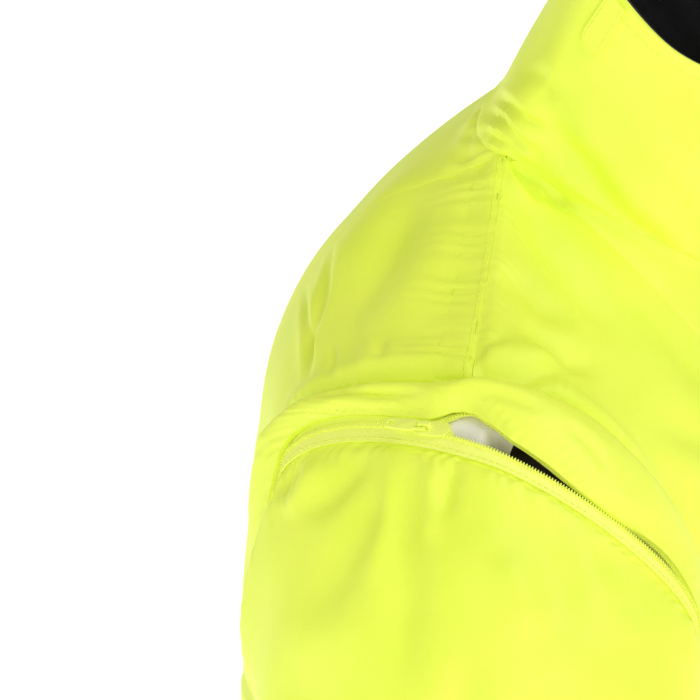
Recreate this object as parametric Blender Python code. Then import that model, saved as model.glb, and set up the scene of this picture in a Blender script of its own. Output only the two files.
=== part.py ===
"""Worn winter jacket with zip-off sleeves, hollow and with no wearer. Metres, +Z up, front towards -Y.

The wearer's right is -X. The origin is in the middle of the neck, level with the top of the shoulder seams.
Every cloth piece is a wall: an outer grid of points worked out from the tables below, and the same grid
moved inwards by the cloth's thickness. Tables hold one side; a side of -1 (right) or +1 (left) mirrors it.
"""
import math

import bmesh
import bpy
import numpy as np
from mathutils import Matrix, Vector

RIGHT = -1
LEFT = 1

# ---- Driving dimensions -------------------------------------------------------------------------
CLOTH = 0.003            # shell, padding and backing together
TAPE = 0.001             # zip tape, reflective tape and felled strips
SEAM_GAP = 0.0003        # between pieces that meet at a seam or lie on each other
LENGTH = 0.80            # shoulder neck point to hem
NECK_HALF_WIDTH = 0.088
NECK_Y = 0.015           # the shoulder seams meet the neck here
NECK_FRONT = 0.104       # neck seam: how far its front lies in front of NECK_Y
NECK_BACK = 0.031        # and its back behind NECK_Y
NECK_DROP = 0.072        # how far the front of the neck seam lies below its sides
FRONT_ZIP_HALF = 0.0075  # half the strip of zip that shows down the front
ZIP_TAPE_WIDTH = 0.008
BAND_PUFF = 0.012        # how far the padded armhole band rolls up
BAND_FULL = 0.040        # where it is this wide or more
NECK_STEPS = 4           # grid steps along each quarter of the neck seam
SHOULDER_STEPS = 7       # grid steps along each shoulder seam
NECK_SHARE = 0.375       # share of a panel's half width that the neck seam takes up

# ---- Shape tables -------------------------------------------------------------------------------
# Armhole seam: superellipse in the side view, seen from outside. "out" is the distance from the middle.
ARMHOLE = {"y": -0.008, "z": -0.169, "half": 0.091, "half_back": 0.091, "up": 0.115, "down": 0.106, "round_up": 0.70,
           "round_down": 0.95, "turn": -7.0, "phase": 9.0, "out_top": 0.237, "out_front": 0.196,
           "out_back": 0.204, "out_bottom": 0.238}
# Zip line around the armhole, at the sleeve's edge.
ZIP_RING = {"y": -0.027, "z": -0.126, "half": 0.1085, "half_back": 0.0995, "up": 0.060, "down": 0.148, "round_up": 1.25,
            "round_down": 0.90, "turn": 15.0, "phase": -22.0, "out_top": 0.275, "out_front": 0.248,
            "out_back": 0.244, "out_bottom": 0.252}

PANEL_COLUMNS = ("level", "arm", "centre_y", "centre_z", "side_out", "side_y", "side_z", "sweep", "rise")
# level 5 is the armpit: above it a row ends on the armhole at the angle "arm", below it on the side seam.
BACK_ROWS = (
    (0, 0, 0.046, 0.000, 0.236, 0.0, -0.275, 50, 0.010),
    (1, 34, 0.096, -0.041, 0.236, 0.0, -0.275, 52, 0.014),
    (2, 64, 0.128, -0.082, 0.236, 0.0, -0.275, 54, 0.008),
    (3, 90, 0.147, -0.135, 0.236, 0.0, -0.275, 57, 0.004),
    (4, 122, 0.156, -0.200, 0.236, 0.0, -0.275, 68, 0.000),
    (5, 180, 0.160, -0.282, 0.236, -0.004, -0.275, 88, 0.000),
    (6, 180, 0.156, -0.450, 0.238, -0.004, -0.450, 88, 0.000),
    (7, 180, 0.163, -0.630, 0.248, -0.002, -0.630, 88, 0.000),
    (8, 180, 0.170, -LENGTH, 0.256, 0.000, -LENGTH, 88, 0.000),
)
FRONT_ROWS = (
    (0, 0, -0.085, -0.072, 0.236, 0.0, -0.275, 50, 0.000),
    (1, 34, -0.108, -0.098, 0.236, 0.0, -0.275, 54, 0.004),
    (2, 64, -0.128, -0.130, 0.236, 0.0, -0.275, 58, 0.004),
    (3, 90, -0.144, -0.172, 0.236, 0.0, -0.275, 64, 0.002),
    (4, 122, -0.154, -0.225, 0.236, 0.0, -0.275, 74, 0.000),
    (5, 180, -0.160, -0.300, 0.236, -0.004, -0.275, 88, 0.000),
    (6, 180, -0.156, -0.450, 0.238, -0.004, -0.450, 88, 0.000),
    (7, 180, -0.160, -0.630, 0.248, -0.002, -0.630, 88, 0.000),
    (8, 180, -0.164, -LENGTH, 0.256, 0.000, -LENGTH, 88, 0.000),
)
# Sleeve sections after the zip ring: outer and inner point in the front view, then back and front.
SLEEVE_COLUMNS = ("level", "outer_out", "outer_z", "inner_out", "inner_z", "back_y", "front_y")
SLEEVE_ROWS = (
    (0, 0.276, -0.070, 0.250, -0.274, 0.069, -0.139),
    (1, 0.306, -0.094, 0.253, -0.290, 0.063, -0.141),
    (2, 0.329, -0.135, 0.257, -0.306, 0.058, -0.142),
    (3, 0.346, -0.195, 0.262, -0.330, 0.053, -0.140),
    (4, 0.359, -0.270, 0.270, -0.365, 0.047, -0.136),
    (5, 0.376, -0.380, 0.284, -0.432, 0.034, -0.132),
    (6, 0.393, -0.480, 0.302, -0.510, 0.022, -0.130),
    (7, 0.408, -0.590, 0.320, -0.606, 0.010, -0.128),
    (8, 0.418, -0.690, 0.332, -0.698, -0.006, -0.122),
)
# Sleeve gathers: troughs that run down from the zip tape. Angles run forward from the top of the sleeve.
GATHER_COLUMNS = ("angle", "width", "depth", "reach")
GATHERS = (
    (-74, 9, 0.003, 2.2),
    (-44, 8, 0.005, 3.0),
    (-26, 7, 0.004, 4.2),
    (-8, 8, 0.005, 3.6),
    (18, 8, 0.002, 1.6),
    (40, 9, 0.004, 3.2),
    (66, 10, 0.003, 2.6),
    (104, 12, 0.003, 2.4),
    (150, 12, 0.003, 2.0),
    (-130, 12, 0.003, 2.2),
)
COLLAR_COLUMNS = ("turn", "top_out", "top_y", "top_z")
# Upper edge of the collar, from the front round to the back.
COLLAR_TOP = (
    (0, 0.000, -0.098, 0.030),
    (30, 0.040, -0.088, 0.034),
    (60, 0.068, -0.060, 0.054),
    (90, 0.074, -0.030, 0.086),
    (120, 0.056, -0.016, 0.100),
    (150, 0.030, -0.008, 0.105),
    (180, 0.000, -0.004, 0.106),
)
COLLAR_BULGES = ((0, 0.006), (60, 0.012), (100, 0.008), (150, 0.002), (180, 0.002))

# The unzipped stretch of the right sleeve: angle on the zip ring, and the gap between the two tapes.
OPENING_COLUMNS = ("angle", "gap", "rim")
OPENING = (
    (-3, 0.0003, 0.0045),
    (3, 0.0042, 0.0042),
    (6, 0.0070, 0.0022),
    (14, 0.0085, 0.0012),
    (26, 0.0068, 0.0010),
    (36, 0.0052, 0.0010),
    (46, 0.0030, 0.0010),
    (70, 0.0026, 0.0015),
    (118, 0.0026, 0.0030),
)
BAND_RIM = 0.0045        # from the closed zip line to the edge of the padded band
TAPE_HIDDEN = 0.0055     # how far the body's zip tape reaches under that edge
TAPE_FREE = 0.0066       # from the zip line to the sleeve's cloth under the tape
ZIP_END = 118.0          # the zip's two ends meet here, low on the front of the armhole
SLIDER_REAR = -5.0       # ring angles of the right sleeve's slider
SLIDER_NOSE = 6.0
LINING_SPAN = (-20.0, 84.0)          # ring angles of the pale lining behind the open zip
LINING_DEPTH = 0.0070                # how far it hangs inside the two zip lines
LINING_CLEAR = 0.004                 # and inside the sleeve's cloth
COLLAR_TAB = {"angle": 84.0, "half_width": 0.0065, "low": 0.72, "high": 0.98, "thick": 0.0015}

# ---- Grid stations --------------------------------------------------------------------------------
LEVELS_ARM = (0.0, 0.22, 0.5, 0.8, 1.1, 1.4, 1.7, 2.0, 2.35, 2.7, 3.05, 3.4, 3.75, 4.1, 4.4, 4.7, 5.0)
LEVELS_SIDE = (5.35, 5.72, 6.0, 6.35, 6.67, 6.95, 7.45, 8.0)
TORSO_HOOPS = ((5.72, 6.0), (6.67, 6.95))
LEVELS_SLEEVE = (0.0, 0.16, 0.45, 0.8, 1.2, 1.6, 2.1, 2.7, 3.3, 4.0, 5.0, 5.5, 6.2, 6.7, 8.0)
SLEEVE_HOOPS = ((5.0, 5.5), (6.2, 6.7))
LEVELS = LEVELS_ARM + LEVELS_SIDE
ARMPIT = 5.0
TAPE_LEVEL = LEVELS_SLEEVE[1]
BAND_HEIGHTS = (0.0, 0.2, 0.45, 0.7, 0.9, 1.0)
COLLAR_HEIGHTS = (0.0, 0.2, 0.45, 0.7, 0.88, 1.0)
FRONT_ZIP_HEIGHTS = COLLAR_HEIGHTS[1:5]

# ---- Slider and pull tab --------------------------------------------------------------------------
# In the slider's own frame: x runs along the zip to its open end, z away from the cloth.
SLIDER_BACK = -0.0042
SLIDER_HALF = 0.0041
NOSE_CENTRE = 0.0079                 # of the round front end
SLIDER_BODY = (-0.0036, -0.0028, -0.0017, 0.0017, 0.0028, 0.0060, 0.0086)
NOSE_TURNS = (26, 45, 62, 78)        # degrees round the nose
CROWN_HALF = 0.0011                  # half width of the crown and the post
CROWN_LEG = (0.0017, 0.0028)
POST_START = 0.0086
PLATE_LEVELS = (-0.0041, -0.0031, 0.0006, 0.0018, 0.0041, 0.0050)
AXIS_HEIGHT = 0.0030                 # of the pull tab's hinge
# Pull tab: stations of x, half width and the inner strip's half width.
TAB_STATIONS = (
    (-0.0190, 0.0013, 0.0008),
    (-0.0178, 0.0025, 0.0016),
    (-0.0146, 0.0029, 0.0016),
    (-0.0120, 0.0032, 0.0016),
    (-0.0069, 0.0032, 0.0016),
    (-0.0044, 0.0026, 0.0016),
    (-0.0007, 0.0026, 0.0016),
    (0.0007, 0.0024, 0.0016),
)
TAB_EYE = 1                          # the stretch of stations that holds the oblong eye
TAB_SLOT = 5                         # and the one that fits over the crown
TAB_THICK = 0.0012
SLIDER_LIFT = 0.0005                 # out from the chord of the curved zip line
TAPE_END = 0.0075                    # where a closed zip's tapes end, from the slider's axis

YELLOW = ("shell_yellow", (0.80, 0.94, 0.10), 0.60, 0.0)
TAPE_YELLOW = ("zip_yellow", (0.86, 0.96, 0.20), 0.50, 0.0)
PLASTIC_YELLOW = ("slider_yellow", (0.86, 0.96, 0.16), 0.35, 0.0)
BLACK = ("lining_black", (0.02, 0.02, 0.025), 0.75, 0.0)
PALE = ("lining_pale", (0.80, 0.78, 0.70), 0.70, 0.0)
SILVER = ("reflective_silver", (0.62, 0.64, 0.66), 0.35, 0.3)


def clear_scene():
    for thing in list(bpy.data.objects):
        bpy.data.objects.remove(thing, do_unlink=True)


def material(finish):
    name, colour, roughness, metallic = finish
    found = bpy.data.materials.get(name)
    if found:
        return found
    made = bpy.data.materials.new(name)
    made.use_nodes = True
    shader = made.node_tree.nodes["Principled BSDF"]
    shader.inputs["Base Color"].default_value = (*colour, 1.0)
    shader.inputs["Roughness"].default_value = roughness
    shader.inputs["Metallic"].default_value = metallic
    return made


# ---- Curves and sections --------------------------------------------------------------------------
def smooth(knots, values, at):
    """Smooth curve through values at the knots, straight on past either end."""
    knots = np.asarray(knots, float)
    values = np.asarray(values, float)
    slopes = np.gradient(values, knots)
    i = int(np.clip(np.searchsorted(knots, at) - 1, 0, len(knots) - 2))
    step = knots[i + 1] - knots[i]
    t = (at - knots[i]) / step
    if t < 0.0:
        return values[0] + slopes[0] * step * t
    if t > 1.0:
        return values[-1] + slopes[-1] * step * (t - 1.0)
    return ((2 * t**3 - 3 * t**2 + 1) * values[i] + (t**3 - 2 * t**2 + t) * step * slopes[i]
            + (3 * t**2 - 2 * t**3) * values[i + 1] + (t**3 - t**2) * step * slopes[i + 1])


def row_at(columns, rows, at):
    """The row of a table at a place between its rows, as a dictionary. The first column is the place."""
    knots = [row[0] for row in rows]
    return {name: smooth(knots, [row[i] for row in rows], at) for i, name in enumerate(columns)}


def ease(value):
    value = min(max(value, 0.0), 1.0)
    return value * value * (3.0 - 2.0 * value)


def unit(vector):
    return vector / np.linalg.norm(vector)


def power(value, exponent):
    return math.copysign(abs(value) ** exponent, value)


def ring_point(ring, angle):
    """Point (out, y, z) of an armhole ring. Angle 0 is its top, 90 its front and -90 its back."""
    turned = math.radians(angle + ring["phase"] * (0.5 + 0.5 * math.cos(math.radians(angle))))
    sine, cosine = math.sin(turned), math.cos(turned)
    end = "up" if cosine > 0 else "down"
    half = ring["half"]
    if sine < 0:
        half += (ring["half_back"] - half) * ease(1.0 + cosine)
    forward = half * power(sine, ring["round_" + end])
    height = ring[end] * power(cosine, ring["round_" + end])
    turn = math.radians(ring["turn"])
    y = ring["y"] - forward * math.cos(turn) - height * math.sin(turn)
    z = ring["z"] + height * math.cos(turn) - forward * math.sin(turn)
    side = ring["out_front"] if sine > 0 else ring["out_back"]
    tip = ring["out_top"] if cosine > 0 else ring["out_bottom"]
    return np.array((side + (tip - side) * cosine * cosine, y, z))


def neck_point(angle):
    """Point (out, y, z) of the neck seam. Angle 0 is the front, 90 a shoulder seam and 180 the back."""
    sine, cosine = math.sin(math.radians(angle)), math.cos(math.radians(angle))
    reach = NECK_FRONT if cosine > 0 else NECK_BACK
    drop = NECK_DROP * cosine**1.2 if cosine > 0 else 0.0
    return np.array((NECK_HALF_WIDTH * sine, NECK_Y - reach * cosine, -drop))


def panel_row(rows, share, level):
    """Point of one panel's half: share 0 is its middle line, 1 the armhole or the side seam."""
    row = row_at(PANEL_COLUMNS, rows, level)
    front = -1 if rows is BACK_ROWS else 1
    if level < ARMPIT:
        edge = ring_point(ARMHOLE, front * row["arm"])
    else:
        edge = np.array((row["side_out"], row["side_y"], row["side_z"]))
    sweep = math.radians(row["sweep"])
    across = math.sin(share * sweep) / math.sin(sweep)
    inward = (math.cos(share * sweep) - math.cos(sweep)) / (1.0 - math.cos(sweep))
    y = edge[1] + (row["centre_y"] - edge[1]) * inward
    z = edge[2] + (row["centre_z"] - edge[2]) * inward + row["rise"] * math.sin(math.pi * share) ** 2
    return np.array((edge[0] * across, y, z))


def top_seam(rows, share):
    """Upper edge of a panel's half: along the neck seam, then along the shoulder seam."""
    if share <= NECK_SHARE:
        quarter = 90.0 * share / NECK_SHARE
        return neck_point(180.0 - quarter if rows is BACK_ROWS else quarter)
    along = (share - NECK_SHARE) / (1.0 - NECK_SHARE)
    return neck_point(90.0) * (1.0 - along) + ring_point(ARMHOLE, 0.0) * along


def panel_point(rows, share, level):
    point = panel_row(rows, share, level)
    fade = 1.0 - ease(level / 2.6)
    if fade > 0.0:
        point = point + (top_seam(rows, share) - panel_row(rows, share, 0.0)) * fade
    return point


def torso_inward(point):
    """Direction into the garment at a point of its body."""
    heart = np.array((min(point[0], 0.13), 0.0, min(point[2], -0.20)))
    return unit(heart - point)


def armhole_inward(point):
    """Direction shared by a panel and the band at the armhole seam, halfway between their own."""
    across = np.array((0.0, ARMHOLE["y"] - point[1], ARMHOLE["z"] - point[2]))
    return unit(torso_inward(point) + unit(across))


def mirrored(point, side):
    return np.array((side * point[0], point[1], point[2]))


# ---- Walls ----------------------------------------------------------------------------------------
def wall(name, outer, inner, finish, closed=False):
    """One closed solid between two grids of points. A closed wall joins its last column to its first."""
    rows, columns = outer.shape[0], outer.shape[1]
    mesh = bpy.data.meshes.new(name)
    points = np.concatenate((outer.reshape(-1, 3), inner.reshape(-1, 3)))
    inside = rows * columns
    faces = []
    span = columns if closed else columns - 1
    for i in range(rows - 1):
        for j in range(span):
            k = (j + 1) % columns
            a, b, c, d = i * columns + j, i * columns + k, (i + 1) * columns + k, (i + 1) * columns + j
            for corners in ((a, b, c), (a, c, d)):
                faces.append(corners)
                faces.append(tuple(inside + corner for corner in reversed(corners)))
    rim = [[i * columns + j for j in range(columns)] for i in (0, rows - 1)]
    loops = []
    for line, flip in zip(rim, (True, False)):
        loops += [(a, b, flip) for a, b in zip(line, line[1:] + line[:1])][:span]
    if not closed:
        for j, flip in ((0, False), (columns - 1, True)):
            line = [i * columns + j for i in range(rows)]
            loops += [(a, b, flip) for a, b in zip(line, line[1:])]
    for a, b, flip in loops:
        for corners in ((a, b, inside + b), (a, inside + b, inside + a)):
            faces.append(corners if flip else tuple(reversed(corners)))
    mesh.from_pydata([tuple(p) for p in points], [], faces)
    tidy = bmesh.new()
    tidy.from_mesh(mesh)
    bmesh.ops.recalc_face_normals(tidy, faces=tidy.faces)
    if tidy.calc_volume(signed=True) < 0.0:
        bmesh.ops.reverse_faces(tidy, faces=tidy.faces)
    tidy.to_mesh(mesh)
    tidy.free()
    mesh.shade_smooth()
    mesh.set_sharp_from_angle(angle=math.radians(50))
    mesh.materials.append(material(finish))
    made = bpy.data.objects.new(name, mesh)
    bpy.context.scene.collection.objects.link(made)
    return made


def pulled_back(outer, inner, first_row=0.0, last_row=0.0, first_column=0.0, last_column=0.0):
    """Both grids with their edges drawn back from a seam, along the cloth."""
    moves = np.zeros_like(outer)
    for amount, edge, beside in ((first_row, 0, 1), (last_row, -1, -2)):
        step = outer[beside] - outer[edge]
        moves[edge] += amount * step / np.linalg.norm(step, axis=-1, keepdims=True)
    for amount, edge, beside in ((first_column, 0, 1), (last_column, -1, -2)):
        step = outer[:, beside] - outer[:, edge]
        moves[:, edge] += amount * step / np.linalg.norm(step, axis=-1, keepdims=True)
    return outer + moves, inner + moves


def zip_share(rows, level):
    """Share of the half width at which a front panel meets the zip strip."""
    low, high = 0.0, 0.3
    for _ in range(24):
        middle = 0.5 * (low + high)
        if panel_point(rows, middle, level)[0] < FRONT_ZIP_HALF:
            low = middle
        else:
            high = middle
    return high


def half_shares():
    neck = [NECK_SHARE * i / NECK_STEPS for i in range(NECK_STEPS + 1)]
    shoulder = [NECK_SHARE + (1.0 - NECK_SHARE) * (i + 1) / SHOULDER_STEPS for i in range(SHOULDER_STEPS)]
    return neck + shoulder


def torso_grids(rows, stations):
    """Outer points and inward directions for rows of (side, share) stations, level by level."""
    outer, inward = [], []
    for level in LEVELS:
        places = [(side, share(level) if callable(share) else share) for side, share in stations]
        points = [panel_point(rows, share, level) for side, share in places]
        ways = [armhole_inward(point) if share == 1.0 and level <= ARMPIT else torso_inward(point)
                for (side, share), point in zip(places, points)]
        outer.append([mirrored(point, side) for (side, share), point in zip(places, points)])
        inward.append([mirrored(way, side) for (side, share), way in zip(places, ways)])
    return np.array(outer), np.array(inward)


def back_stations():
    shares = half_shares()
    return [(RIGHT, share) for share in reversed(shares[1:])] + [(LEFT, share) for share in shares]


def front_stations(side):
    return [(side, lambda level: zip_share(FRONT_ROWS, level))] + [(side, share) for share in half_shares()[1:]]


def hoops(name, outer, inward, spans, levels, finish, closed=False):
    """Reflective bands that lie on the rows of a cloth grid."""
    for number, (start, end) in enumerate(spans, 1):
        first, last = levels.index(start), levels.index(end) + 1
        base, direction = outer[first:last], inward[first:last]
        top = base - direction * (SEAM_GAP + TAPE)
        under = base - direction * SEAM_GAP
        wall(f"{name}_{number}", top, under, finish, closed)


def build_torso():
    outer, inward = torso_grids(BACK_ROWS, back_stations())
    shell = pulled_back(outer, outer + inward * CLOTH, first_row=SEAM_GAP / 2, first_column=SEAM_GAP / 2,
                        last_column=SEAM_GAP / 2)
    wall("back", *shell, YELLOW)
    hoops("back_hoop", shell[0], inward, TORSO_HOOPS, LEVELS, SILVER)
    build_shoulder_strips(outer, inward)
    for side, word in ((RIGHT, "right"), (LEFT, "left")):
        outer, inward = torso_grids(FRONT_ROWS, front_stations(side))
        shell = pulled_back(outer, outer + inward * CLOTH, first_row=SEAM_GAP / 2, first_column=SEAM_GAP / 2,
                            last_column=SEAM_GAP / 2)
        wall(f"front_{word}", *shell, YELLOW)
        hoops(f"front_hoop_{word}", shell[0], inward, TORSO_HOOPS, LEVELS, SILVER)


def build_shoulder_strips(outer, inward):
    """The felled allowance that lies on the back, along each shoulder seam."""
    reach = SHOULDER_STEPS + 1
    for word, columns in (("right", slice(0, reach)), ("left", slice(-reach, None))):
        base, direction = outer[0:2, columns], inward[0:2, columns]
        top = base - direction * (SEAM_GAP + TAPE)
        under = base - direction * SEAM_GAP
        strip = pulled_back(top, under, SEAM_GAP, 0.0, SEAM_GAP, SEAM_GAP)
        wall(f"shoulder_strip_{word}", *strip, YELLOW)


# ---- Collar ---------------------------------------------------------------------------------------
def collar_point(angle, height):
    """Point (out, y, z) of the collar: height 0 on the neck seam, 1 at its top edge."""
    foot = neck_point(angle)
    top = row_at(COLLAR_COLUMNS, COLLAR_TOP, angle)
    head = np.array((top["top_out"], top["top_y"], top["top_z"]))
    away = unit(np.array((foot[0], foot[1] + 0.02, 0.0)))
    bulge = row_at(("turn", "bulge"), COLLAR_BULGES, angle)["bulge"]
    return foot * (1.0 - height) + head * height + away * bulge * math.sin(math.pi * height) ** 0.8


def build_collar():
    neck_shares = half_shares()[:NECK_STEPS + 1]
    first = math.degrees(math.asin(FRONT_ZIP_HALF / NECK_HALF_WIDTH))
    front = [first] + [90.0 * share / NECK_SHARE for share in neck_shares[1:]]
    back = [180.0 - 90.0 * share / NECK_SHARE for share in reversed(neck_shares[:-1])]
    half = front + back
    turns = [(RIGHT, angle) for angle in half] + [(LEFT, angle) for angle in reversed(half[:-1])]
    outer = np.array([[mirrored(collar_point(angle, height), side) for side, angle in turns]
                      for height in COLLAR_HEIGHTS])
    middle = outer.mean(axis=1, keepdims=True)
    inward = middle - outer
    inward[..., 2] = 0.0
    inward /= np.linalg.norm(inward, axis=-1, keepdims=True)
    cloth = pulled_back(outer, outer + inward * CLOTH, first_row=SEAM_GAP)
    wall("collar", *cloth, YELLOW)
    lining = outer + inward * (CLOTH + SEAM_GAP * 1.5)
    wall("collar_lining", *pulled_back(lining, lining + inward * 0.0015, first_row=SEAM_GAP), BLACK)


# ---- Sleeves, armhole bands and their zips ----------------------------------------------------------
def ring_angles():
    """Stations around the armhole, the same as the rows of the fronts and the back that meet it."""
    front = [row_at(PANEL_COLUMNS, FRONT_ROWS, level)["arm"] for level in LEVELS_ARM]
    back = [row_at(PANEL_COLUMNS, BACK_ROWS, level)["arm"] for level in LEVELS_ARM]
    return [-angle for angle in reversed(back[1:-1])] + front


def opening_at(angle, opened):
    """Gap between the two zip tapes at an angle, and how far the band's edge stands from its tape's."""
    if not opened or not OPENING[0][0] < angle < OPENING[-1][0]:
        return SEAM_GAP, BAND_RIM
    row = row_at(OPENING_COLUMNS, OPENING, angle)
    return max(row["gap"], SEAM_GAP), row["rim"]


def towards_body(angle):
    return unit(ring_point(ARMHOLE, angle) - ring_point(ZIP_RING, angle))


def grid_inward(grid, heart):
    """Unit normals of a closed tube's grid that point to its inside. heart has a point for each row."""
    around = np.roll(grid, -1, axis=1) - np.roll(grid, 1, axis=1)
    along = np.gradient(grid, axis=0)
    normals = np.cross(around, along)
    normals /= np.linalg.norm(normals, axis=-1, keepdims=True)
    facing = np.sum(normals * (heart[:, None, :] - grid), axis=(1, 2), keepdims=True).sum()
    return normals * math.copysign(1.0, facing)


def gather(angle, level):
    """How far the gathers pull the sleeve's surface in at one place."""
    total = 0.0
    for row in GATHERS:
        trough = dict(zip(GATHER_COLUMNS, row))
        away = (angle - trough["angle"] + 180.0) % 360.0 - 180.0
        spread = trough["width"] * (1.0 + 0.35 * level)
        start = ease((level - 0.1) / 0.4)
        fade = 1.0 - ease(level / trough["reach"])
        total += trough["depth"] * math.exp(-(away / spread) ** 2) * start * fade
    return total


def sleeve_middle(level):
    row = row_at(SLEEVE_COLUMNS, SLEEVE_ROWS, level)
    return np.array((0.5 * (row["outer_out"] + row["inner_out"]), 0.5 * (row["back_y"] + row["front_y"]),
                     0.5 * (row["outer_z"] + row["inner_z"])))


def sleeve_point(angle, level):
    """Point (out, y, z) of the sleeve: level 0 is the zip line, level 8 the cuff's edge."""
    row = row_at(SLEEVE_COLUMNS, SLEEVE_ROWS, level)
    across = 0.5 * np.array((row["outer_out"] - row["inner_out"], 0.0, row["outer_z"] - row["inner_z"]))
    half = 0.5 * (row["back_y"] - row["front_y"])
    phase = ZIP_RING["phase"] * (0.5 + 0.5 * math.cos(math.radians(angle)))
    turned = math.radians(angle + phase + ZIP_RING["turn"])
    plain = sleeve_middle(level) + across * math.cos(turned) - np.array((0.0, half * math.sin(turned), 0.0))
    ring = ring_point(ZIP_RING, angle) + sleeve_middle(level) - sleeve_middle(0.0)
    blend = ease(level / 2.0)
    return ring * (1.0 - blend) + plain * blend


def sleeve_grid(side, angles):
    rows = []
    for level in LEVELS_SLEEVE:
        line = []
        for angle in angles:
            point = sleeve_point(angle, level)
            if level == TAPE_LEVEL:
                zip_line = sleeve_point(angle, 0.0)
                point = zip_line + unit(sleeve_point(angle, 0.3) - zip_line) * ZIP_TAPE_WIDTH
            line.append(mirrored(point, side))
        rows.append(line)
    grid = np.array(rows)
    heart = np.array([mirrored(sleeve_middle(level), side) for level in LEVELS_SLEEVE])
    inward = grid_inward(grid, heart)
    puff = np.array([[gather(angle, level) - 0.004 * ease(level / 0.6) * (1 - ease(level / 2.5))
                      + (TAPE + SEAM_GAP) * (1 - ease((level - TAPE_LEVEL) / 0.5))
                      for angle in angles] for level in LEVELS_SLEEVE])
    return grid + inward * puff[..., None], inward


def open_ring(angles):
    """Column numbers of a ring that is open where the zip's ends meet, from one end round to the other."""
    last = max(i for i, angle in enumerate(angles) if angle <= ZIP_END)
    return [(last + 1 + i) % len(angles) for i in range(len(angles))]


def zip_frame(side, angles, sleeve_inward):
    """The zip line, the way from it to the body, the way under the band, and the tapes' shared inward way."""
    seam = np.array([mirrored(ring_point(ARMHOLE, angle), side) for angle in angles])
    zip_line = np.array([mirrored(ring_point(ZIP_RING, angle), side) for angle in angles])
    up = seam - zip_line
    length = np.linalg.norm(up, axis=-1, keepdims=True)
    up /= length
    around = np.roll(zip_line, -1, axis=0) - np.roll(zip_line, 1, axis=0)
    under = np.cross(around, up)
    under /= np.linalg.norm(under, axis=-1, keepdims=True)
    centre = mirrored(np.array((ZIP_RING["out_back"], ZIP_RING["y"], ZIP_RING["z"])), side)
    under *= math.copysign(1.0, np.sum(under * (centre - zip_line)))
    shared = under + sleeve_inward
    shared /= np.linalg.norm(shared, axis=-1, keepdims=True)
    return seam, zip_line, up, length, under, shared


def build_sleeve(side, word, opened):
    angles = ring_angles()
    outer, inward = sleeve_grid(side, angles)
    sleeve = pulled_back(outer, outer + inward * CLOTH, first_row=TAPE_FREE)
    wall(f"sleeve_{word}", *sleeve, YELLOW, closed=True)
    hoops(f"sleeve_hoop_{word}", outer, inward, SLEEVE_HOOPS, LEVELS_SLEEVE, SILVER, closed=True)
    frame = zip_frame(side, angles, inward[0])
    zip_line, shared = frame[1], frame[5]
    columns = open_ring(angles)
    top = np.array([zip_line, outer[1] - inward[1] * (SEAM_GAP + TAPE)])
    under = np.array([zip_line + shared * TAPE, outer[1] - inward[1] * SEAM_GAP])
    tape = pulled_back(top[:, columns], under[:, columns], first_row=SEAM_GAP / 2)
    wall(f"sleeve_zip_tape_{word}", *tape, TAPE_YELLOW)
    edge, hidden = build_band(side, word, opened, angles, columns, frame)
    build_sleeve_slider(side, word, opened, angles, columns, frame, top[1] - hidden)
    if opened:
        build_armhole_lining(angles, frame, edge, hidden, outer, inward)


def build_band(side, word, opened, angles, columns, frame):
    """The padded roll between the armhole seam and the zip, and the body's zip tape under its edge."""
    seam, zip_line, up, length, under, shared = frame
    openings = np.array([opening_at(angle, opened) for angle in angles])
    edge = zip_line + up * openings[:, :1]
    rim = edge + up * openings[:, 1:] - under * (CLOTH + SEAM_GAP)
    puff = BAND_PUFF * np.minimum(length / BAND_FULL, 1.0) ** 2
    outer = np.array([seam * (1 - height) + rim * height - under * puff * math.sin(math.pi * height) ** 1.2
                      for height in BAND_HEIGHTS])
    inward = grid_inward(outer, np.array([zip_line.mean(axis=0)] * len(BAND_HEIGHTS)))
    inward[0] = [mirrored(armhole_inward(ring_point(ARMHOLE, angle)), side) for angle in angles]
    beside = np.cross(np.roll(seam, -1, axis=0) - np.roll(seam, 1, axis=0), inward[0])
    beside /= np.linalg.norm(beside, axis=-1, keepdims=True)
    beside *= np.sign(np.sum(beside * (rim - seam), axis=-1, keepdims=True))
    outer[0] += beside * SEAM_GAP
    wall(f"armhole_band_{word}", outer, outer + inward * CLOTH, YELLOW, closed=True)
    hidden = edge + up * (openings[:, 1:] + TAPE_HIDDEN) + under * SEAM_GAP
    top = np.array([edge, hidden])[:, columns]
    low = np.array([edge + shared * TAPE, hidden + under * TAPE])[:, columns]
    wall(f"body_zip_tape_{word}", *pulled_back(top, low, first_row=SEAM_GAP / 2), TAPE_YELLOW)
    return edge, hidden


def build_armhole_lining(angles, frame, edge, hidden, sleeve, sleeve_inward):
    """Pale lining that shows through the open zip of the right sleeve, held under the body's tape."""
    seam, zip_line, up, length, under, shared = frame
    columns = [i for i, angle in enumerate(angles) if LINING_SPAN[0] < angle < LINING_SPAN[1]]
    rows = [hidden + under * (TAPE + SEAM_GAP * 1.5), 0.5 * (edge + zip_line) + shared * LINING_DEPTH]
    rows += [sleeve[row] + sleeve_inward[row] * (CLOTH + LINING_CLEAR) for row in (1, 2)]
    outer = np.array(rows)[:, columns]
    wall("armhole_lining_right", outer, outer + under[None, columns] * TAPE, PALE)


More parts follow.
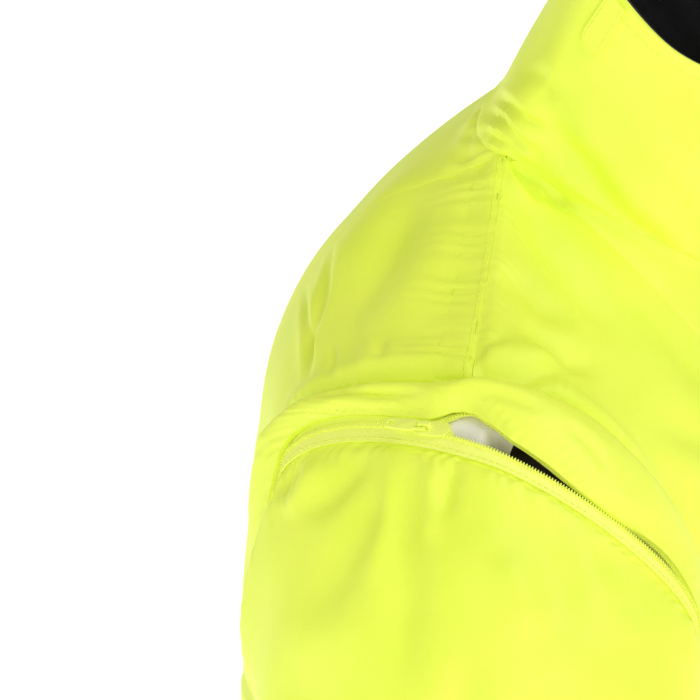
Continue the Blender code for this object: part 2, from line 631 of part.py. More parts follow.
# ---- Zip down the front ---------------------------------------------------------------------------
def front_zip_line(out):
    """Points and inward ways up the front from the hem to the zip's end on the collar."""
    points, ways = [], []
    for level in reversed(LEVELS):
        share = zip_share(FRONT_ROWS, level) * out / FRONT_ZIP_HALF
        point = panel_point(FRONT_ROWS, share, level)
        points.append(np.array((out, point[1], point[2])))
        ways.append(torso_inward(point) * np.array((0.0, 1.0, 1.0)))
    turn = math.degrees(math.asin(FRONT_ZIP_HALF / NECK_HALF_WIDTH))
    for height in FRONT_ZIP_HEIGHTS:
        point = collar_point(turn, height)
        points.append(np.array((out, point[1], point[2])))
        ways.append(np.array((0.0, 1.0, 0.0)))
    return np.array(points), np.array(ways)


def build_front_zip():
    edge, ways = front_zip_line(FRONT_ZIP_HALF - SEAM_GAP * 3)
    middle, _ = front_zip_line(SEAM_GAP / 2)
    for side, word in ((RIGHT, "right"), (LEFT, "left")):
        scale = np.array((side, 1.0, 1.0))
        outer = np.stack((edge * scale, middle * scale), axis=1)
        wall(f"front_zip_tape_{word}", outer, outer + (ways * scale)[:, None, :] * TAPE, TAPE_YELLOW)
    top = np.array((0.0, middle[-1][1], middle[-1][2]))
    along = unit(middle[-1] - middle[-2])
    build_slider("front", top - along * TAPE_END, along, np.array((0.0, -1.0, 0.0)))


# ---- Sliders and pull tabs ------------------------------------------------------------------------
def lattice(name, stations, levels, filled, finish):
    """Closed solid made of the filled cells between stations (x, half, inner), three strips and levels."""
    lines = [[-half, -inner, inner, half] for x, half, inner in stations]
    size = (len(stations) - 1, 3, len(levels) - 1)
    corners = {}
    shape = bmesh.new()

    def corner(i, j, k):
        if (i, j, k) not in corners:
            corners[i, j, k] = shape.verts.new((stations[i][0], lines[i][j], levels[k]))
        return corners[i, j, k]

    def solid(i, j, k):
        return 0 <= i < size[0] and 0 <= j < size[1] and 0 <= k < size[2] and filled(i, j, k)

    around = ((0, 0), (1, 0), (1, 1), (0, 1))
    for cell in np.ndindex(size):
        if not solid(*cell):
            continue
        for axis in range(3):
            for step in (0, 1):
                beside = list(cell)
                beside[axis] += 2 * step - 1
                if solid(*beside):
                    continue
                square = []
                for first, second in around:
                    place = list(cell)
                    place[axis] += step
                    place[(axis + 1) % 3] += first
                    place[(axis + 2) % 3] += second
                    square.append(corner(*place))
                shape.faces.new(square if step else list(reversed(square)))
    mesh = bpy.data.meshes.new(name)
    shape.to_mesh(mesh)
    shape.free()
    mesh.materials.append(material(finish))
    made = bpy.data.objects.new(name, mesh)
    bpy.context.scene.collection.objects.link(made)
    return made


def slider_stations():
    back = [(SLIDER_BACK, SLIDER_HALF * 0.75, CROWN_HALF)]
    body = [(x, SLIDER_HALF * (0.86 if x == SLIDER_BODY[0] else 1.0), CROWN_HALF) for x in SLIDER_BODY]
    nose = []
    for turn in NOSE_TURNS:
        half = SLIDER_HALF * math.cos(math.radians(turn))
        nose.append((NOSE_CENTRE + SLIDER_HALF * math.sin(math.radians(turn)), half, min(CROWN_HALF, half * 0.7)))
    return back + body + nose


def slider_filled(i, j, k):
    """Two plates, the post between them at the nose, and the crown over the upper one."""
    start = slider_stations()[i][0]
    if k in (0, 2):
        return True
    if j != 1:
        return False
    if k == 1:
        return start >= POST_START and i < len(slider_stations()) - 3
    leg = start in (-CROWN_LEG[1], CROWN_LEG[0])
    return leg or (k == 4 and start == -CROWN_LEG[0])


def build_slider(word, foot, along, outward):
    """A slider at rest on its zip, and its pull tab on the crown. The tab lies along the closed side."""
    outward = unit(outward - along * np.dot(outward, along))
    across = np.cross(outward, along)
    place = Matrix.Identity(4)
    for column, way in enumerate((along, across, outward)):
        for row in range(3):
            place[row][column] = way[row]
    place.translation = Vector(foot)
    body = lattice(f"slider_{word}", slider_stations(), PLATE_LEVELS, slider_filled, PLASTIC_YELLOW)
    body.matrix_world = place
    thick = (-TAB_THICK / 2, TAB_THICK / 2)
    tab = lattice(f"pull_tab_{word}", TAB_STATIONS, thick,
                  lambda i, j, k: j != 1 or i not in (TAB_EYE, TAB_SLOT), PLASTIC_YELLOW)
    tab.matrix_world = place @ Matrix.Translation((0.0, 0.0, AXIS_HEIGHT))


def build_sleeve_slider(side, word, opened, angles, columns, frame, across):
    """The slider of one sleeve's zip. across runs from the body's tape to the sleeve's at each station."""
    seam, zip_line, up, length, under, shared = frame
    if opened:
        middle = angles.index(min(angles, key=lambda angle: abs(angle - 0.5 * (SLIDER_REAR + SLIDER_NOSE))))
        rear = mirrored(ring_point(ZIP_RING, SLIDER_REAR), side)
        gap = opening_at(SLIDER_NOSE, True)[0]
        nose = mirrored(ring_point(ZIP_RING, SLIDER_NOSE) + towards_body(SLIDER_NOSE) * gap / 2, side)
        along = unit(nose - rear)
        foot = rear - along * SLIDER_BACK - shared[middle] * SLIDER_LIFT
    else:
        middle = columns[-1]
        along = unit(zip_line[middle] - zip_line[columns[-2]])
        foot = zip_line[middle] - along * TAPE_END - shared[middle] * SLIDER_LIFT
    outward = np.cross(across[middle], along)
    outward *= -math.copysign(1.0, np.dot(outward, shared[middle]))
    build_slider(word, foot, along, outward)


def build_collar_tab():
    """Small round-ended tab sewn under the collar's upper edge on the right."""
    half_turn = math.degrees(COLLAR_TAB["half_width"] / NECK_HALF_WIDTH)
    steps = ((0.0, 0.45), (0.12, 0.85), (0.28, 1.0), (0.64, 1.0), (1.0, 1.0))
    rows = []
    for up_share, spread in steps:
        height = COLLAR_TAB["low"] + (COLLAR_TAB["high"] - COLLAR_TAB["low"]) * up_share
        rows.append([mirrored(collar_point(COLLAR_TAB["angle"] + half_turn * spread * across, height), RIGHT)
                     for across in (-1.0, 0.0, 1.0)])
    base = np.array(rows)
    outward = np.array((RIGHT, 0.0, 0.0))
    wall("collar_tab", base + outward * (SEAM_GAP + COLLAR_TAB["thick"]), base + outward * SEAM_GAP, YELLOW)


def main():
    clear_scene()
    build_torso()
    build_collar()
    build_collar_tab()
    build_front_zip()
    build_sleeve(RIGHT, "right", True)
    build_sleeve(LEFT, "left", False)


main()
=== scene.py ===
"""Looks of a worn winter jacket with zip-off sleeves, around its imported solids. Metres, +Z up, front -Y.

The cloth is worked out again from the part's own tables at a finer pitch, then creased. A crease of the
region that the photo shows is placed in the photo's pixels and cut into the cloth that lies behind it.
"""
import math

import bmesh
import bpy
import numpy as np
from mathutils import Matrix


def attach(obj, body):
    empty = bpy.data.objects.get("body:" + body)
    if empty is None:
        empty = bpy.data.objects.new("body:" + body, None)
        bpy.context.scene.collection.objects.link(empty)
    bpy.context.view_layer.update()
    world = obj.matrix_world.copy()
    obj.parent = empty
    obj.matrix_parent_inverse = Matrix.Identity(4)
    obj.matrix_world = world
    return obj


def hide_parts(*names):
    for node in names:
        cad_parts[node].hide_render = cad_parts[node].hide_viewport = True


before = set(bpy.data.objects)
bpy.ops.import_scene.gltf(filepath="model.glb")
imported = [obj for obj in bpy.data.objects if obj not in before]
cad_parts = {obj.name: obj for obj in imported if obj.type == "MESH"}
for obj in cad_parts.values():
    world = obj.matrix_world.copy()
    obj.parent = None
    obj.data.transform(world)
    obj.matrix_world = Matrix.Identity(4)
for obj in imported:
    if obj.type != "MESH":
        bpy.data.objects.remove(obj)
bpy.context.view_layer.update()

RIGHT = -1
LEFT = 1

# ---- Driving dimensions ----
CLOTH = 0.003  # shell, padding and backing together
TAPE = 0.001  # zip tape, reflective tape and felled strips
SEAM_GAP = 0.0003  # between pieces that meet at a seam or lie on each other
LENGTH = 0.80  # shoulder neck point to hem
NECK_HALF_WIDTH = 0.088
NECK_Y = 0.015  # the shoulder seams meet the neck here
NECK_FRONT = 0.104  # neck seam: how far its front lies in front of NECK_Y
NECK_BACK = 0.031  # and its back behind NECK_Y
NECK_DROP = 0.072  # how far the front of the neck seam lies below its sides
FRONT_ZIP_HALF = 0.0075  # half the strip of zip that shows down the front
ZIP_TAPE_WIDTH = 0.008
BAND_PUFF = 0.012  # how far the padded armhole band rolls up
BAND_FULL = 0.040  # where it is this wide or more
NECK_SHARE = 0.375  # share of a panel's half width that the neck seam takes up

# ---- Shape tables ----
# Armhole seam: superellipse in the side view, seen from outside. "out" is the distance from the middle.
ARMHOLE = {"y": -0.008, "z": -0.169, "half": 0.091, "half_back": 0.091, "up": 0.115, "down": 0.106,
           "round_up": 0.70, "round_down": 0.95, "turn": -7.0, "phase": 9.0,
           "out_top": 0.237, "out_front": 0.196, "out_back": 0.204, "out_bottom": 0.238}
# Zip line around the armhole, at the sleeve's edge.
ZIP_RING = {"y": -0.027, "z": -0.126, "half": 0.1085, "half_back": 0.0995, "up": 0.060, "down": 0.148,
            "round_up": 1.25, "round_down": 0.90, "turn": 15.0, "phase": -22.0,
            "out_top": 0.275, "out_front": 0.248, "out_back": 0.244, "out_bottom": 0.252}

PANEL_COLUMNS = ("level", "arm", "centre_y", "centre_z", "side_out", "side_y", "side_z", "sweep", "rise")
# level 5 is the armpit: above it a row ends on the armhole at the angle "arm", below it on the side seam.
BACK_ROWS = (
    (0, 0, 0.046, 0.000, 0.236, 0.0, -0.275, 50, 0.010),
    (1, 34, 0.096, -0.041, 0.236, 0.0, -0.275, 52, 0.014),
    (2, 64, 0.128, -0.082, 0.236, 0.0, -0.275, 54, 0.008),
    (3, 90, 0.147, -0.135, 0.236, 0.0, -0.275, 57, 0.004),
    (4, 122, 0.156, -0.200, 0.236, 0.0, -0.275, 68, 0.000),
    (5, 180, 0.160, -0.282, 0.236, -0.004, -0.275, 88, 0.000),
    (6, 180, 0.156, -0.450, 0.238, -0.004, -0.450, 88, 0.000),
    (7, 180, 0.163, -0.630, 0.248, -0.002, -0.630, 88, 0.000),
    (8, 180, 0.170, -LENGTH, 0.256, 0.000, -LENGTH, 88, 0.000),
)
FRONT_ROWS = (
    (0, 0, -0.085, -0.072, 0.236, 0.0, -0.275, 50, 0.000),
    (1, 34, -0.108, -0.098, 0.236, 0.0, -0.275, 54, 0.004),
    (2, 64, -0.128, -0.130, 0.236, 0.0, -0.275, 58, 0.004),
    (3, 90, -0.144, -0.172, 0.236, 0.0, -0.275, 64, 0.002),
    (4, 122, -0.154, -0.225, 0.236, 0.0, -0.275, 74, 0.000),
    (5, 180, -0.160, -0.300, 0.236, -0.004, -0.275, 88, 0.000),
    (6, 180, -0.156, -0.450, 0.238, -0.004, -0.450, 88, 0.000),
    (7, 180, -0.160, -0.630, 0.248, -0.002, -0.630, 88, 0.000),
    (8, 180, -0.164, -LENGTH, 0.256, 0.000, -LENGTH, 88, 0.000),
)
# Sleeve sections after the zip ring: outer and inner point in the front view, then back and front.
SLEEVE_COLUMNS = ("level", "outer_out", "outer_z", "inner_out", "inner_z", "back_y", "front_y")
SLEEVE_ROWS = (
    (0, 0.276, -0.070, 0.250, -0.274, 0.069, -0.139),
    (1, 0.306, -0.094, 0.253, -0.290, 0.063, -0.141),
    (2, 0.329, -0.135, 0.257, -0.306, 0.058, -0.142),
    (3, 0.346, -0.195, 0.262, -0.330, 0.053, -0.140),
    (4, 0.359, -0.270, 0.270, -0.365, 0.047, -0.136),
    (5, 0.376, -0.380, 0.284, -0.432, 0.034, -0.132),
    (6, 0.393, -0.480, 0.302, -0.510, 0.022, -0.130),
    (7, 0.408, -0.590, 0.320, -0.606, 0.010, -0.128),
    (8, 0.418, -0.690, 0.332, -0.698, -0.006, -0.122),
)
# Sleeve gathers behind and below the photo's creases: troughs that run down from the zip tape. Angles run
# forward from the top of the sleeve.
GATHER_COLUMNS = ("angle", "width", "depth", "reach")
GATHERS = (
    (66, 10, 0.003, 2.6),
    (104, 12, 0.003, 2.4),
    (150, 12, 0.003, 2.0),
    (-130, 12, 0.003, 2.2),
)
COLLAR_COLUMNS = ("turn", "top_out", "top_y", "top_z")
# Upper edge of the collar, from the front round to the back.
COLLAR_TOP = (
    (0, 0.000, -0.098, 0.030),
    (30, 0.040, -0.088, 0.034),
    (60, 0.068, -0.060, 0.054),
    (90, 0.074, -0.030, 0.086),
    (120, 0.056, -0.016, 0.100),
    (150, 0.030, -0.008, 0.105),
    (180, 0.000, -0.004, 0.106),
)
COLLAR_BULGES = ((0, 0.006), (60, 0.012), (90, 0.007), (115, 0.002), (150, 0.000), (180, 0.000))

# The unzipped stretch of the right sleeve: angle on the zip ring, gap between the two tapes, and how far
# the band's edge stands back from its tape's. Under 0, the band covers the tape.
OPENING_COLUMNS = ("angle", "gap", "rim")
OPENING = (
    (-3, 0.0003, 0.0045),
    (0, 0.0042, 0.0040),
    (3, 0.0130, 0.0000),
    (6, 0.0168, -0.0020),
    (12, 0.0152, -0.0020),
    (18, 0.0128, -0.0020),
    (24, 0.0106, -0.0020),
    (31, 0.0090, -0.0020),
    (37, 0.0068, -0.0018),
    (43, 0.0040, -0.0020),
    (50, 0.0026, -0.0024),
    (58, 0.0026, -0.0024),
    (66, 0.0060, -0.0016),
    (72, 0.0080, -0.0010),
    (84, 0.0050, 0.0000),
    (118, 0.0026, 0.0030),
)
BAND_RIM = 0.0045  # from the closed zip line to the edge of the padded band
TAPE_HIDDEN = 0.0055  # how far the body's zip tape reaches under that edge
TAPE_FREE = 0.0066  # from the zip line to the sleeve's cloth under the tape
ZIP_END = 118.0  # the zip's two ends meet here, low on the front of the armhole
LINING_SPAN = (-20.0, 25.0)  # ring angles of the pale lining behind the open zip
LINING_CLEAR = 0.004  # how far it hangs inside the sleeve's cloth
LINING_FALL = 0.038  # how much deeper it hangs towards the front
COLLAR_TAB = {"angle": 84.0, "half_width": 0.0065, "low": 0.72, "high": 0.98, "thick": 0.0015}

# ---- Levels ----
# On the body they run from the shoulder seam to the hem, on a sleeve from the zip line to the cuff's edge.
LAST_LEVEL = 8.0
ARMPIT = 5.0
STRIP_LEVEL = 0.22  # the shoulder strips end here
TORSO_HOOPS = ((5.72, 6.0), (6.67, 6.95))
TAPE_LEVEL = 0.16  # lower edge of the zip tape
NEXT_LEVEL = 0.45  # below it the sleeve has its own sections
SLEEVE_HOOPS = ((5.0, 5.5), (6.2, 6.7))
COLLAR_ZIP = (0.2, 0.88)  # the front zip's end, as shares of the collar's height


# ---- The photo's view ----
AZIMUTH = math.radians(-70.0)
ELEVATION = math.radians(22.0)
METRES_A_PIXEL = 0.00047  # at the neck
CAMERA_DISTANCE = 3.1
PHOTO_SIZE = 700
NECK_PIXEL = (507.0, 155.0)  # where the shoulder seam meets the neck, and that point
NECK_PLACE = np.array((-NECK_HALF_WIDTH, NECK_Y, 0.0))
RIGHT_WAY = np.array((math.cos(AZIMUTH), math.sin(AZIMUTH), 0.0))
BACK_WAY = np.array((math.sin(AZIMUTH) * math.cos(ELEVATION), -math.cos(AZIMUTH) * math.cos(ELEVATION),
                     math.sin(ELEVATION)))
UP_WAY = np.array((-math.sin(AZIMUTH) * math.sin(ELEVATION), math.cos(AZIMUTH) * math.sin(ELEVATION),
                   math.cos(ELEVATION)))
HALF = PHOTO_SIZE / 2
CAMERA_AT = (NECK_PLACE - RIGHT_WAY * (NECK_PIXEL[0] - HALF) * METRES_A_PIXEL
             - UP_WAY * (HALF - NECK_PIXEL[1]) * METRES_A_PIXEL + BACK_WAY * CAMERA_DISTANCE)
FOCAL = CAMERA_DISTANCE / METRES_A_PIXEL

# ---- Creases ----
# Half width and depth in millimetres; a depth under 0 is a ridge. "lip" is the swell on both sides, as a
# share of the depth. Places are in the photo's 700 pixel frame, also past its edge.
CREASE_COLUMNS = ("width", "depth", "lip", "places")
CREASES = {
    "front": (
        (6.0, 3.4, 0.1, ((518, 196), (542, 238), (566, 271), (583, 295), (607, 332), (617, 352))),
        (5.5, 2.8, 0.1, ((496, 262), (526, 291), (550, 312), (580, 327))),
        (5.0, 4.2, 0.2, ((520, 322), (548, 343), (566, 356), (602, 376))),
        (4.5, 4.5, 0.0, ((440, 372), (490, 377), (526, 380), (570, 371))),
        (7.0, -4.0, 0.0, ((455, 357), (490, 356), (530, 359), (572, 372))),
        (3.0, 1.6, 0.3, ((466, 372), (472, 358), (490, 346), (515, 338))),
        (9.0, -3.0, 0.0, ((545, 205), (590, 250), (640, 310))),
        (6.0, 2.6, 0.3, ((600, 262), (640, 300), (680, 352), (720, 420))),
        (8.0, 3.0, 0.4, ((640, 400), (690, 430), (760, 450), (840, 455))),
        (9.0, 3.5, 0.4, ((700, 560), (760, 640), (840, 700), (930, 730))),
        (9.0, 3.0, 0.4, ((720, 900), (800, 960), (900, 1000))),
        (10.0, 3.5, 0.4, ((760, 1180), (850, 1230), (960, 1260))),
        (9.0, 3.0, 0.3, ((900, 480), (930, 620), (950, 800))),
        (3.0, 3.0, 0.5, ((506, 150), (526, 176), (544, 204))),
        (3.4, 2.6, 0.4, ((516, 160), (546, 188), (580, 214))),
    ),
    "back": (
        (9.0, -3.2, 0.0, ((425, 156), (395, 205), (338, 275), (322, 300))),
        (8.0, 4.4, 0.1, ((428, 178), (403, 226), (375, 275), (345, 316), (322, 330))),
        (10.0, -3.2, 0.0, ((468, 208), (445, 250), (415, 291), (383, 345))),
        (3.0, 1.4, 0.3, ((384, 336), (382, 352), (384, 368))),
        (1.8, 1.7, 0.4,
         ((326, 238), (336, 252), (331, 275), (324, 299), (317, 324), (311, 344), (306, 392))),
        (1.8, 1.5, 0.3, ((300, 275), (306, 299), (308, 324), (311, 348), (307, 382))),
        (2.0, 1.3, 0.3, ((331, 334), (334, 360), (326, 386))),
        (7.0, -0.8, 0.0, ((322, 270), (318, 310), (300, 380))),
        (7.0, -3.0, 0.0, ((330, 368), (370, 360), (420, 357), (470, 356))),
        (5.0, 1.0, 0.3, ((350, 300), (352, 330), (346, 372))),
        (6.0, 2.4, 0.4, ((258, 500), (254, 540), (258, 600))),
        (3.0, 3.4, 0.5, ((462, 150), (482, 136), (506, 124))),
        (3.0, 3.0, 0.5, ((448, 166), (474, 156), (508, 146))),
        (3.4, 2.6, 0.4, ((436, 178), (462, 176), (504, 160))),
    ),
    "sleeve": (
        (5.0, 2.4, 0.1, ((295, 444), (285, 477), (272, 505))),
        (6.0, 3.6, 0.1, ((366, 440), (352, 466), (334, 487), (298, 521))),
        (9.5, 3.8, 0.0, ((385, 440), (366, 512), (342, 561), (310, 640))),
        (9.5, 4.4, 0.0, ((414, 436), (407, 499), (403, 581), (408, 700))),
        (5.0, 2.6, 0.1, ((458, 448), (448, 479), (443, 522))),
        (13.0, 3.4, 0.0, ((494, 466), (526, 532), (554, 585), (592, 655))),
        (10.0, 2.0, 0.0, ((546, 490), (562, 545), (584, 615))),
        (5.0, -2.2, 0.0, ((324, 446), (305, 480), (279, 520))),
        (5.0, -2.6, 0.0, ((393, 450), (382, 510), (370, 590))),
        (5.0, -2.6, 0.0, ((434, 450), (430, 490), (427, 550))),
        (9.0, -2.4, 0.0, ((500, 545), (520, 590), (545, 640))),
        (8.0, 2.4, 0.0, ((600, 524), (622, 570), (640, 640))),
        (3.0, 2.0, 0.3, ((268, 456), (262, 482), (266, 510))),
        (8.0, 2.8, 0.4, ((470, 640), (450, 760), (440, 900))),
        (9.0, 4.0, 0.5, ((560, 900), (480, 960), (380, 990), (300, 985))),
        (9.0, 4.5, 0.5, ((590, 1010), (500, 1050), (400, 1060), (310, 1040))),
        (9.0, 3.6, 0.5, ((580, 1130), (490, 1150), (400, 1140), (320, 1100))),
        (9.0, 3.0, 0.5, ((560, 1240), (480, 1270), (400, 1270))),
    ),
    "band": (
        (2.6, 2.4, 0.4, ((296, 402), (318, 394), (338, 389), (366, 391), (430, 391))),
        (3.0, -1.3, 0.0, ((526, 380), (566, 398), (607, 424), (648, 475), (662, 503))),
        (4.0, 2.2, 0.3, ((590, 500), (622, 518), (655, 540))),
        (3.0, 1.6, 0.3, ((470, 388), (510, 396), (548, 414))),
        (2.5, 1.4, 0.3, ((560, 420), (590, 446), (612, 478))),
    ),
    "collar": (
        (8.0, -3.6, 0.0,
         ((512, 50), (526, 99), (538, 128), (566, 161), (607, 193), (640, 226), (680, 262))),
        (6.0, 5.0, 0.2,
         ((540, 90), (558, 128), (566, 144), (587, 165), (615, 201), (652, 238), (700, 276))),
        (8.0, -3.6, 0.0, ((566, 80), (579, 128), (599, 161), (624, 193), (660, 222), (700, 250))),
        (3.0, 3.6, 0.5, ((480, 106), (506, 122), (536, 156))),
        (2.6, 3.0, 0.5, ((486, 92), (518, 110), (552, 136))),
        (2.6, 3.0, 0.5, ((484, 130), (508, 142), (530, 172))),
        (5.0, -3.0, 0.0, ((490, 118), (514, 134), (534, 166))),
        (5.0, 2.4, 0.3, ((530, 60), (542, 84), (560, 104))),
        (8.0, 3.2, 0.4, ((700, 190), (740, 200), (800, 196))),
    ),
}
DEPTH_GAIN = 1.15
HIDDEN_GAIN = 1.2
# Each side's share of the creases' depth, and how far they are moved: in pixels, and hidden ones in metres.
UNEVEN = {RIGHT: (1.0, (0.0, 0.0), (0.0, 0.0)), LEFT: (0.8, (14.0, -9.0), (0.008, -0.014))}
# Creases that the photo doesn't reach: front and back views, in metres from the middle and below the neck.
HIDDEN_CREASES = {
    "front": (
        (9.0, 3.2, 0.4, ((0.030, -0.330), (0.090, -0.350), (0.170, -0.335), (0.215, -0.300))),
        (8.0, 2.6, 0.4, ((0.050, -0.440), (0.120, -0.470), (0.190, -0.455))),
        (9.0, 3.0, 0.4, ((0.060, -0.540), (0.130, -0.555), (0.200, -0.520))),
        (10.0, 3.4, 0.4, ((0.180, -0.640), (0.150, -0.700), (0.140, -0.760))),
        (8.0, 2.4, 0.4, ((0.070, -0.620), (0.080, -0.690), (0.075, -0.770))),
    ),
    "back": (
        (9.0, 3.4, 0.4, ((0.225, -0.300), (0.170, -0.350), (0.100, -0.370), (0.040, -0.360))),
        (9.0, 3.0, 0.4, ((0.215, -0.400), (0.150, -0.450), (0.080, -0.470))),
        (8.0, 2.4, 0.4, ((0.050, -0.130), (0.090, -0.220), (0.100, -0.310))),
        (9.0, 3.2, 0.4, ((0.200, -0.540), (0.120, -0.570), (0.030, -0.560))),
        (10.0, 3.4, 0.4, ((0.160, -0.640), (0.140, -0.710), (0.150, -0.790))),
        (9.0, 2.6, 0.4, ((0.050, -0.640), (0.060, -0.710), (0.055, -0.780))),
    ),
    "sleeve_back": (
        (8.0, 3.4, 0.4, ((0.360, -0.300), (0.330, -0.380), (0.310, -0.430))),
        (9.0, 3.8, 0.5, ((0.385, -0.440), (0.345, -0.460), (0.300, -0.440))),
        (9.0, 3.4, 0.5, ((0.395, -0.520), (0.355, -0.530), (0.310, -0.505))),
        (8.0, 2.8, 0.4, ((0.400, -0.590), (0.365, -0.610), (0.325, -0.590))),
    ),
    "sleeve_front": (
        (9.0, 3.8, 0.5, ((0.375, -0.400), (0.335, -0.430), (0.295, -0.425))),
        (9.0, 3.2, 0.5, ((0.390, -0.480), (0.350, -0.500), (0.308, -0.490))),
    ),
}


# ---- Curves and sections ----
def smooth(knots, values, at):
    """Smooth curves through a table's values at the knots, straight on past either end."""
    knots = np.asarray(knots, float)
    values = np.asarray(values, float).reshape(len(knots), -1)
    at = np.atleast_1d(np.asarray(at, float))
    slopes = np.gradient(values, knots, axis=0)
    i = np.clip(np.searchsorted(knots, at) - 1, 0, len(knots) - 2)
    step = (knots[i + 1] - knots[i])[:, None]
    t = (at - knots[i])[:, None] / step
    past = np.maximum(t - 1.0, 0.0) * slopes[i + 1] + np.minimum(t, 0.0) * slopes[i]
    t = np.clip(t, 0.0, 1.0)
    return ((2 * t**3 - 3 * t**2 + 1) * values[i] + (t**3 - 2 * t**2 + t) * step * slopes[i]
            + (3 * t**2 - 2 * t**3) * values[i + 1] + (t**3 - t**2) * step * slopes[i + 1] + past * step)


def read(columns, rows, at):
    """A table at places between its rows, as a dictionary of arrays. The first column is the place."""
    table = np.array(rows, float)
    found = smooth(table[:, 0], table, at)
    return {name: found[:, i] for i, name in enumerate(columns)}


def ease(value):
    value = np.clip(value, 0.0, 1.0)
    return value * value * (3.0 - 2.0 * value)


def unit(vectors):
    return vectors / np.maximum(np.linalg.norm(vectors, axis=-1, keepdims=True), 1e-12)


def power(value, exponent):
    return np.copysign(np.abs(value) ** exponent, value)


def mirrored(points, side):
    return points * np.array((side, 1.0, 1.0))


def ring_points(ring, angles):
    """Points (out, y, z) of an armhole ring. Angle 0 is its top, 90 its front and -90 its back."""
    angles = np.atleast_1d(np.asarray(angles, float))
    turned = np.radians(angles + ring["phase"] * (0.5 + 0.5 * np.cos(np.radians(angles))))
    sine, cosine = np.sin(turned), np.cos(turned)
    above = cosine > 0
    rounding = np.where(above, ring["round_up"], ring["round_down"])
    back_half = ring["half"] + (ring["half_back"] - ring["half"]) * ease(1.0 + cosine)
    forward = np.where(sine < 0, back_half, ring["half"]) * power(sine, rounding)
    height = np.where(above, ring["up"], ring["down"]) * power(cosine, rounding)
    turn = math.radians(ring["turn"])
    y = ring["y"] - forward * math.cos(turn) - height * math.sin(turn)
    z = ring["z"] + height * math.cos(turn) - forward * math.sin(turn)
    side = np.where(sine > 0, ring["out_front"], ring["out_back"])
    tip = np.where(above, ring["out_top"], ring["out_bottom"])
    return np.stack((side + (tip - side) * cosine * cosine, y, z), -1)


def neck_points(angles):
    """Points (out, y, z) of the neck seam. Angle 0 is the front, 90 a shoulder seam and 180 the back."""
    angles = np.radians(np.atleast_1d(np.asarray(angles, float)))
    sine, cosine = np.sin(angles), np.cos(angles)
    reach = np.where(cosine > 0, NECK_FRONT, NECK_BACK)
    drop = NECK_DROP * np.maximum(cosine, 0.0) ** 1.2
    return np.stack((NECK_HALF_WIDTH * sine, NECK_Y - reach * cosine, -drop), -1)


def panel_row(rows, shares, level):
    """Points of one panel's half: share 0 is its middle line, 1 the armhole or the side seam."""
    row = {name: value[0] for name, value in read(PANEL_COLUMNS, rows, level).items()}
    front = -1 if rows is BACK_ROWS else 1
    if level < ARMPIT:
        edge = ring_points(ARMHOLE, front * row["arm"])[0]
    else:
        edge = np.array((row["side_out"], row["side_y"], row["side_z"]))
    sweep = math.radians(row["sweep"])
    across = np.sin(shares * sweep) / math.sin(sweep)
    inward = (np.cos(shares * sweep) - math.cos(sweep)) / (1.0 - math.cos(sweep))
    y = edge[1] + (row["centre_y"] - edge[1]) * inward
    z = edge[2] + (row["centre_z"] - edge[2]) * inward + row["rise"] * np.sin(math.pi * shares) ** 2
    return np.stack((edge[0] * across, y, z), -1)


def top_seam(rows, shares):
    """Upper edge of a panel's half: along the neck seam, then along the shoulder seam."""
    quarter = 90.0 * np.minimum(shares / NECK_SHARE, 1.0)
    neck = neck_points(180.0 - quarter if rows is BACK_ROWS else quarter)
    along = np.maximum(shares - NECK_SHARE, 0.0)[:, None] / (1.0 - NECK_SHARE)
    return neck * (1.0 - along) + ring_points(ARMHOLE, 0.0) * along


def panel_line(rows, shares, level):
    points = panel_row(rows, shares, level)
    fade = float(1.0 - ease(level / 2.6))
    if fade > 0.0:
        points = points + (top_seam(rows, shares) - panel_row(rows, shares, 0.0)) * fade
    return points


def torso_inward(points):
    """Direction into the garment at points of its right-hand or left-hand body."""
    heart = np.stack((np.clip(points[..., 0], -0.13, 0.13), np.zeros(points.shape[:-1]),
                      np.minimum(points[..., 2], -0.20)), -1)
    return unit(heart - points)


# ---- Creasing ----
def photo_place(points):
    """Where points show in the photo's frame, in pixels."""
    away = points - CAMERA_AT
    depth = -(away @ BACK_WAY)
    return np.stack((HALF + FOCAL * (away @ RIGHT_WAY) / depth, HALF - FOCAL * (away @ UP_WAY) / depth), -1)


def trough(places, scale, crease, shift=(0.0, 0.0)):
    """Height that one crease adds at flat places. scale is the metres in one unit of a place."""
    row = dict(zip(CREASE_COLUMNS, crease))
    knots = np.array(row["places"], float) + shift
    run = np.concatenate(((0.0,), np.cumsum(np.linalg.norm(np.diff(knots, axis=0), axis=1))))
    line = smooth(run, knots, np.linspace(0.0, run[-1], 28))
    width, depth = row["width"] * 0.001, row["depth"] * 0.001
    added = np.zeros(len(places))
    margin = 4.0 * width / scale
    near = np.all((places > line.min(0) - margin) & (places < line.max(0) + margin), axis=1)
    if not near.any():
        return added
    starts, steps = line[:-1], np.diff(line, axis=0)
    away = places[near][:, None, :] - starts
    along = np.clip(np.sum(away * steps, axis=-1) / np.sum(steps * steps, axis=-1), 0.0, 1.0)
    gaps = np.linalg.norm(away - along[..., None] * steps, axis=-1)
    closest = gaps.argmin(axis=1)
    share = (closest + along[np.arange(len(closest)), closest]) / len(steps)
    far = gaps.min(axis=1) * scale / width
    fade = ease(share / 0.35) * ease((1.0 - share) / 0.35)
    swell = row["lip"] * np.exp(-((far - 2.0) / 1.1) ** 2)
    added[near] = DEPTH_GAIN * depth * fade * (swell - np.exp(-far**2))
    return added


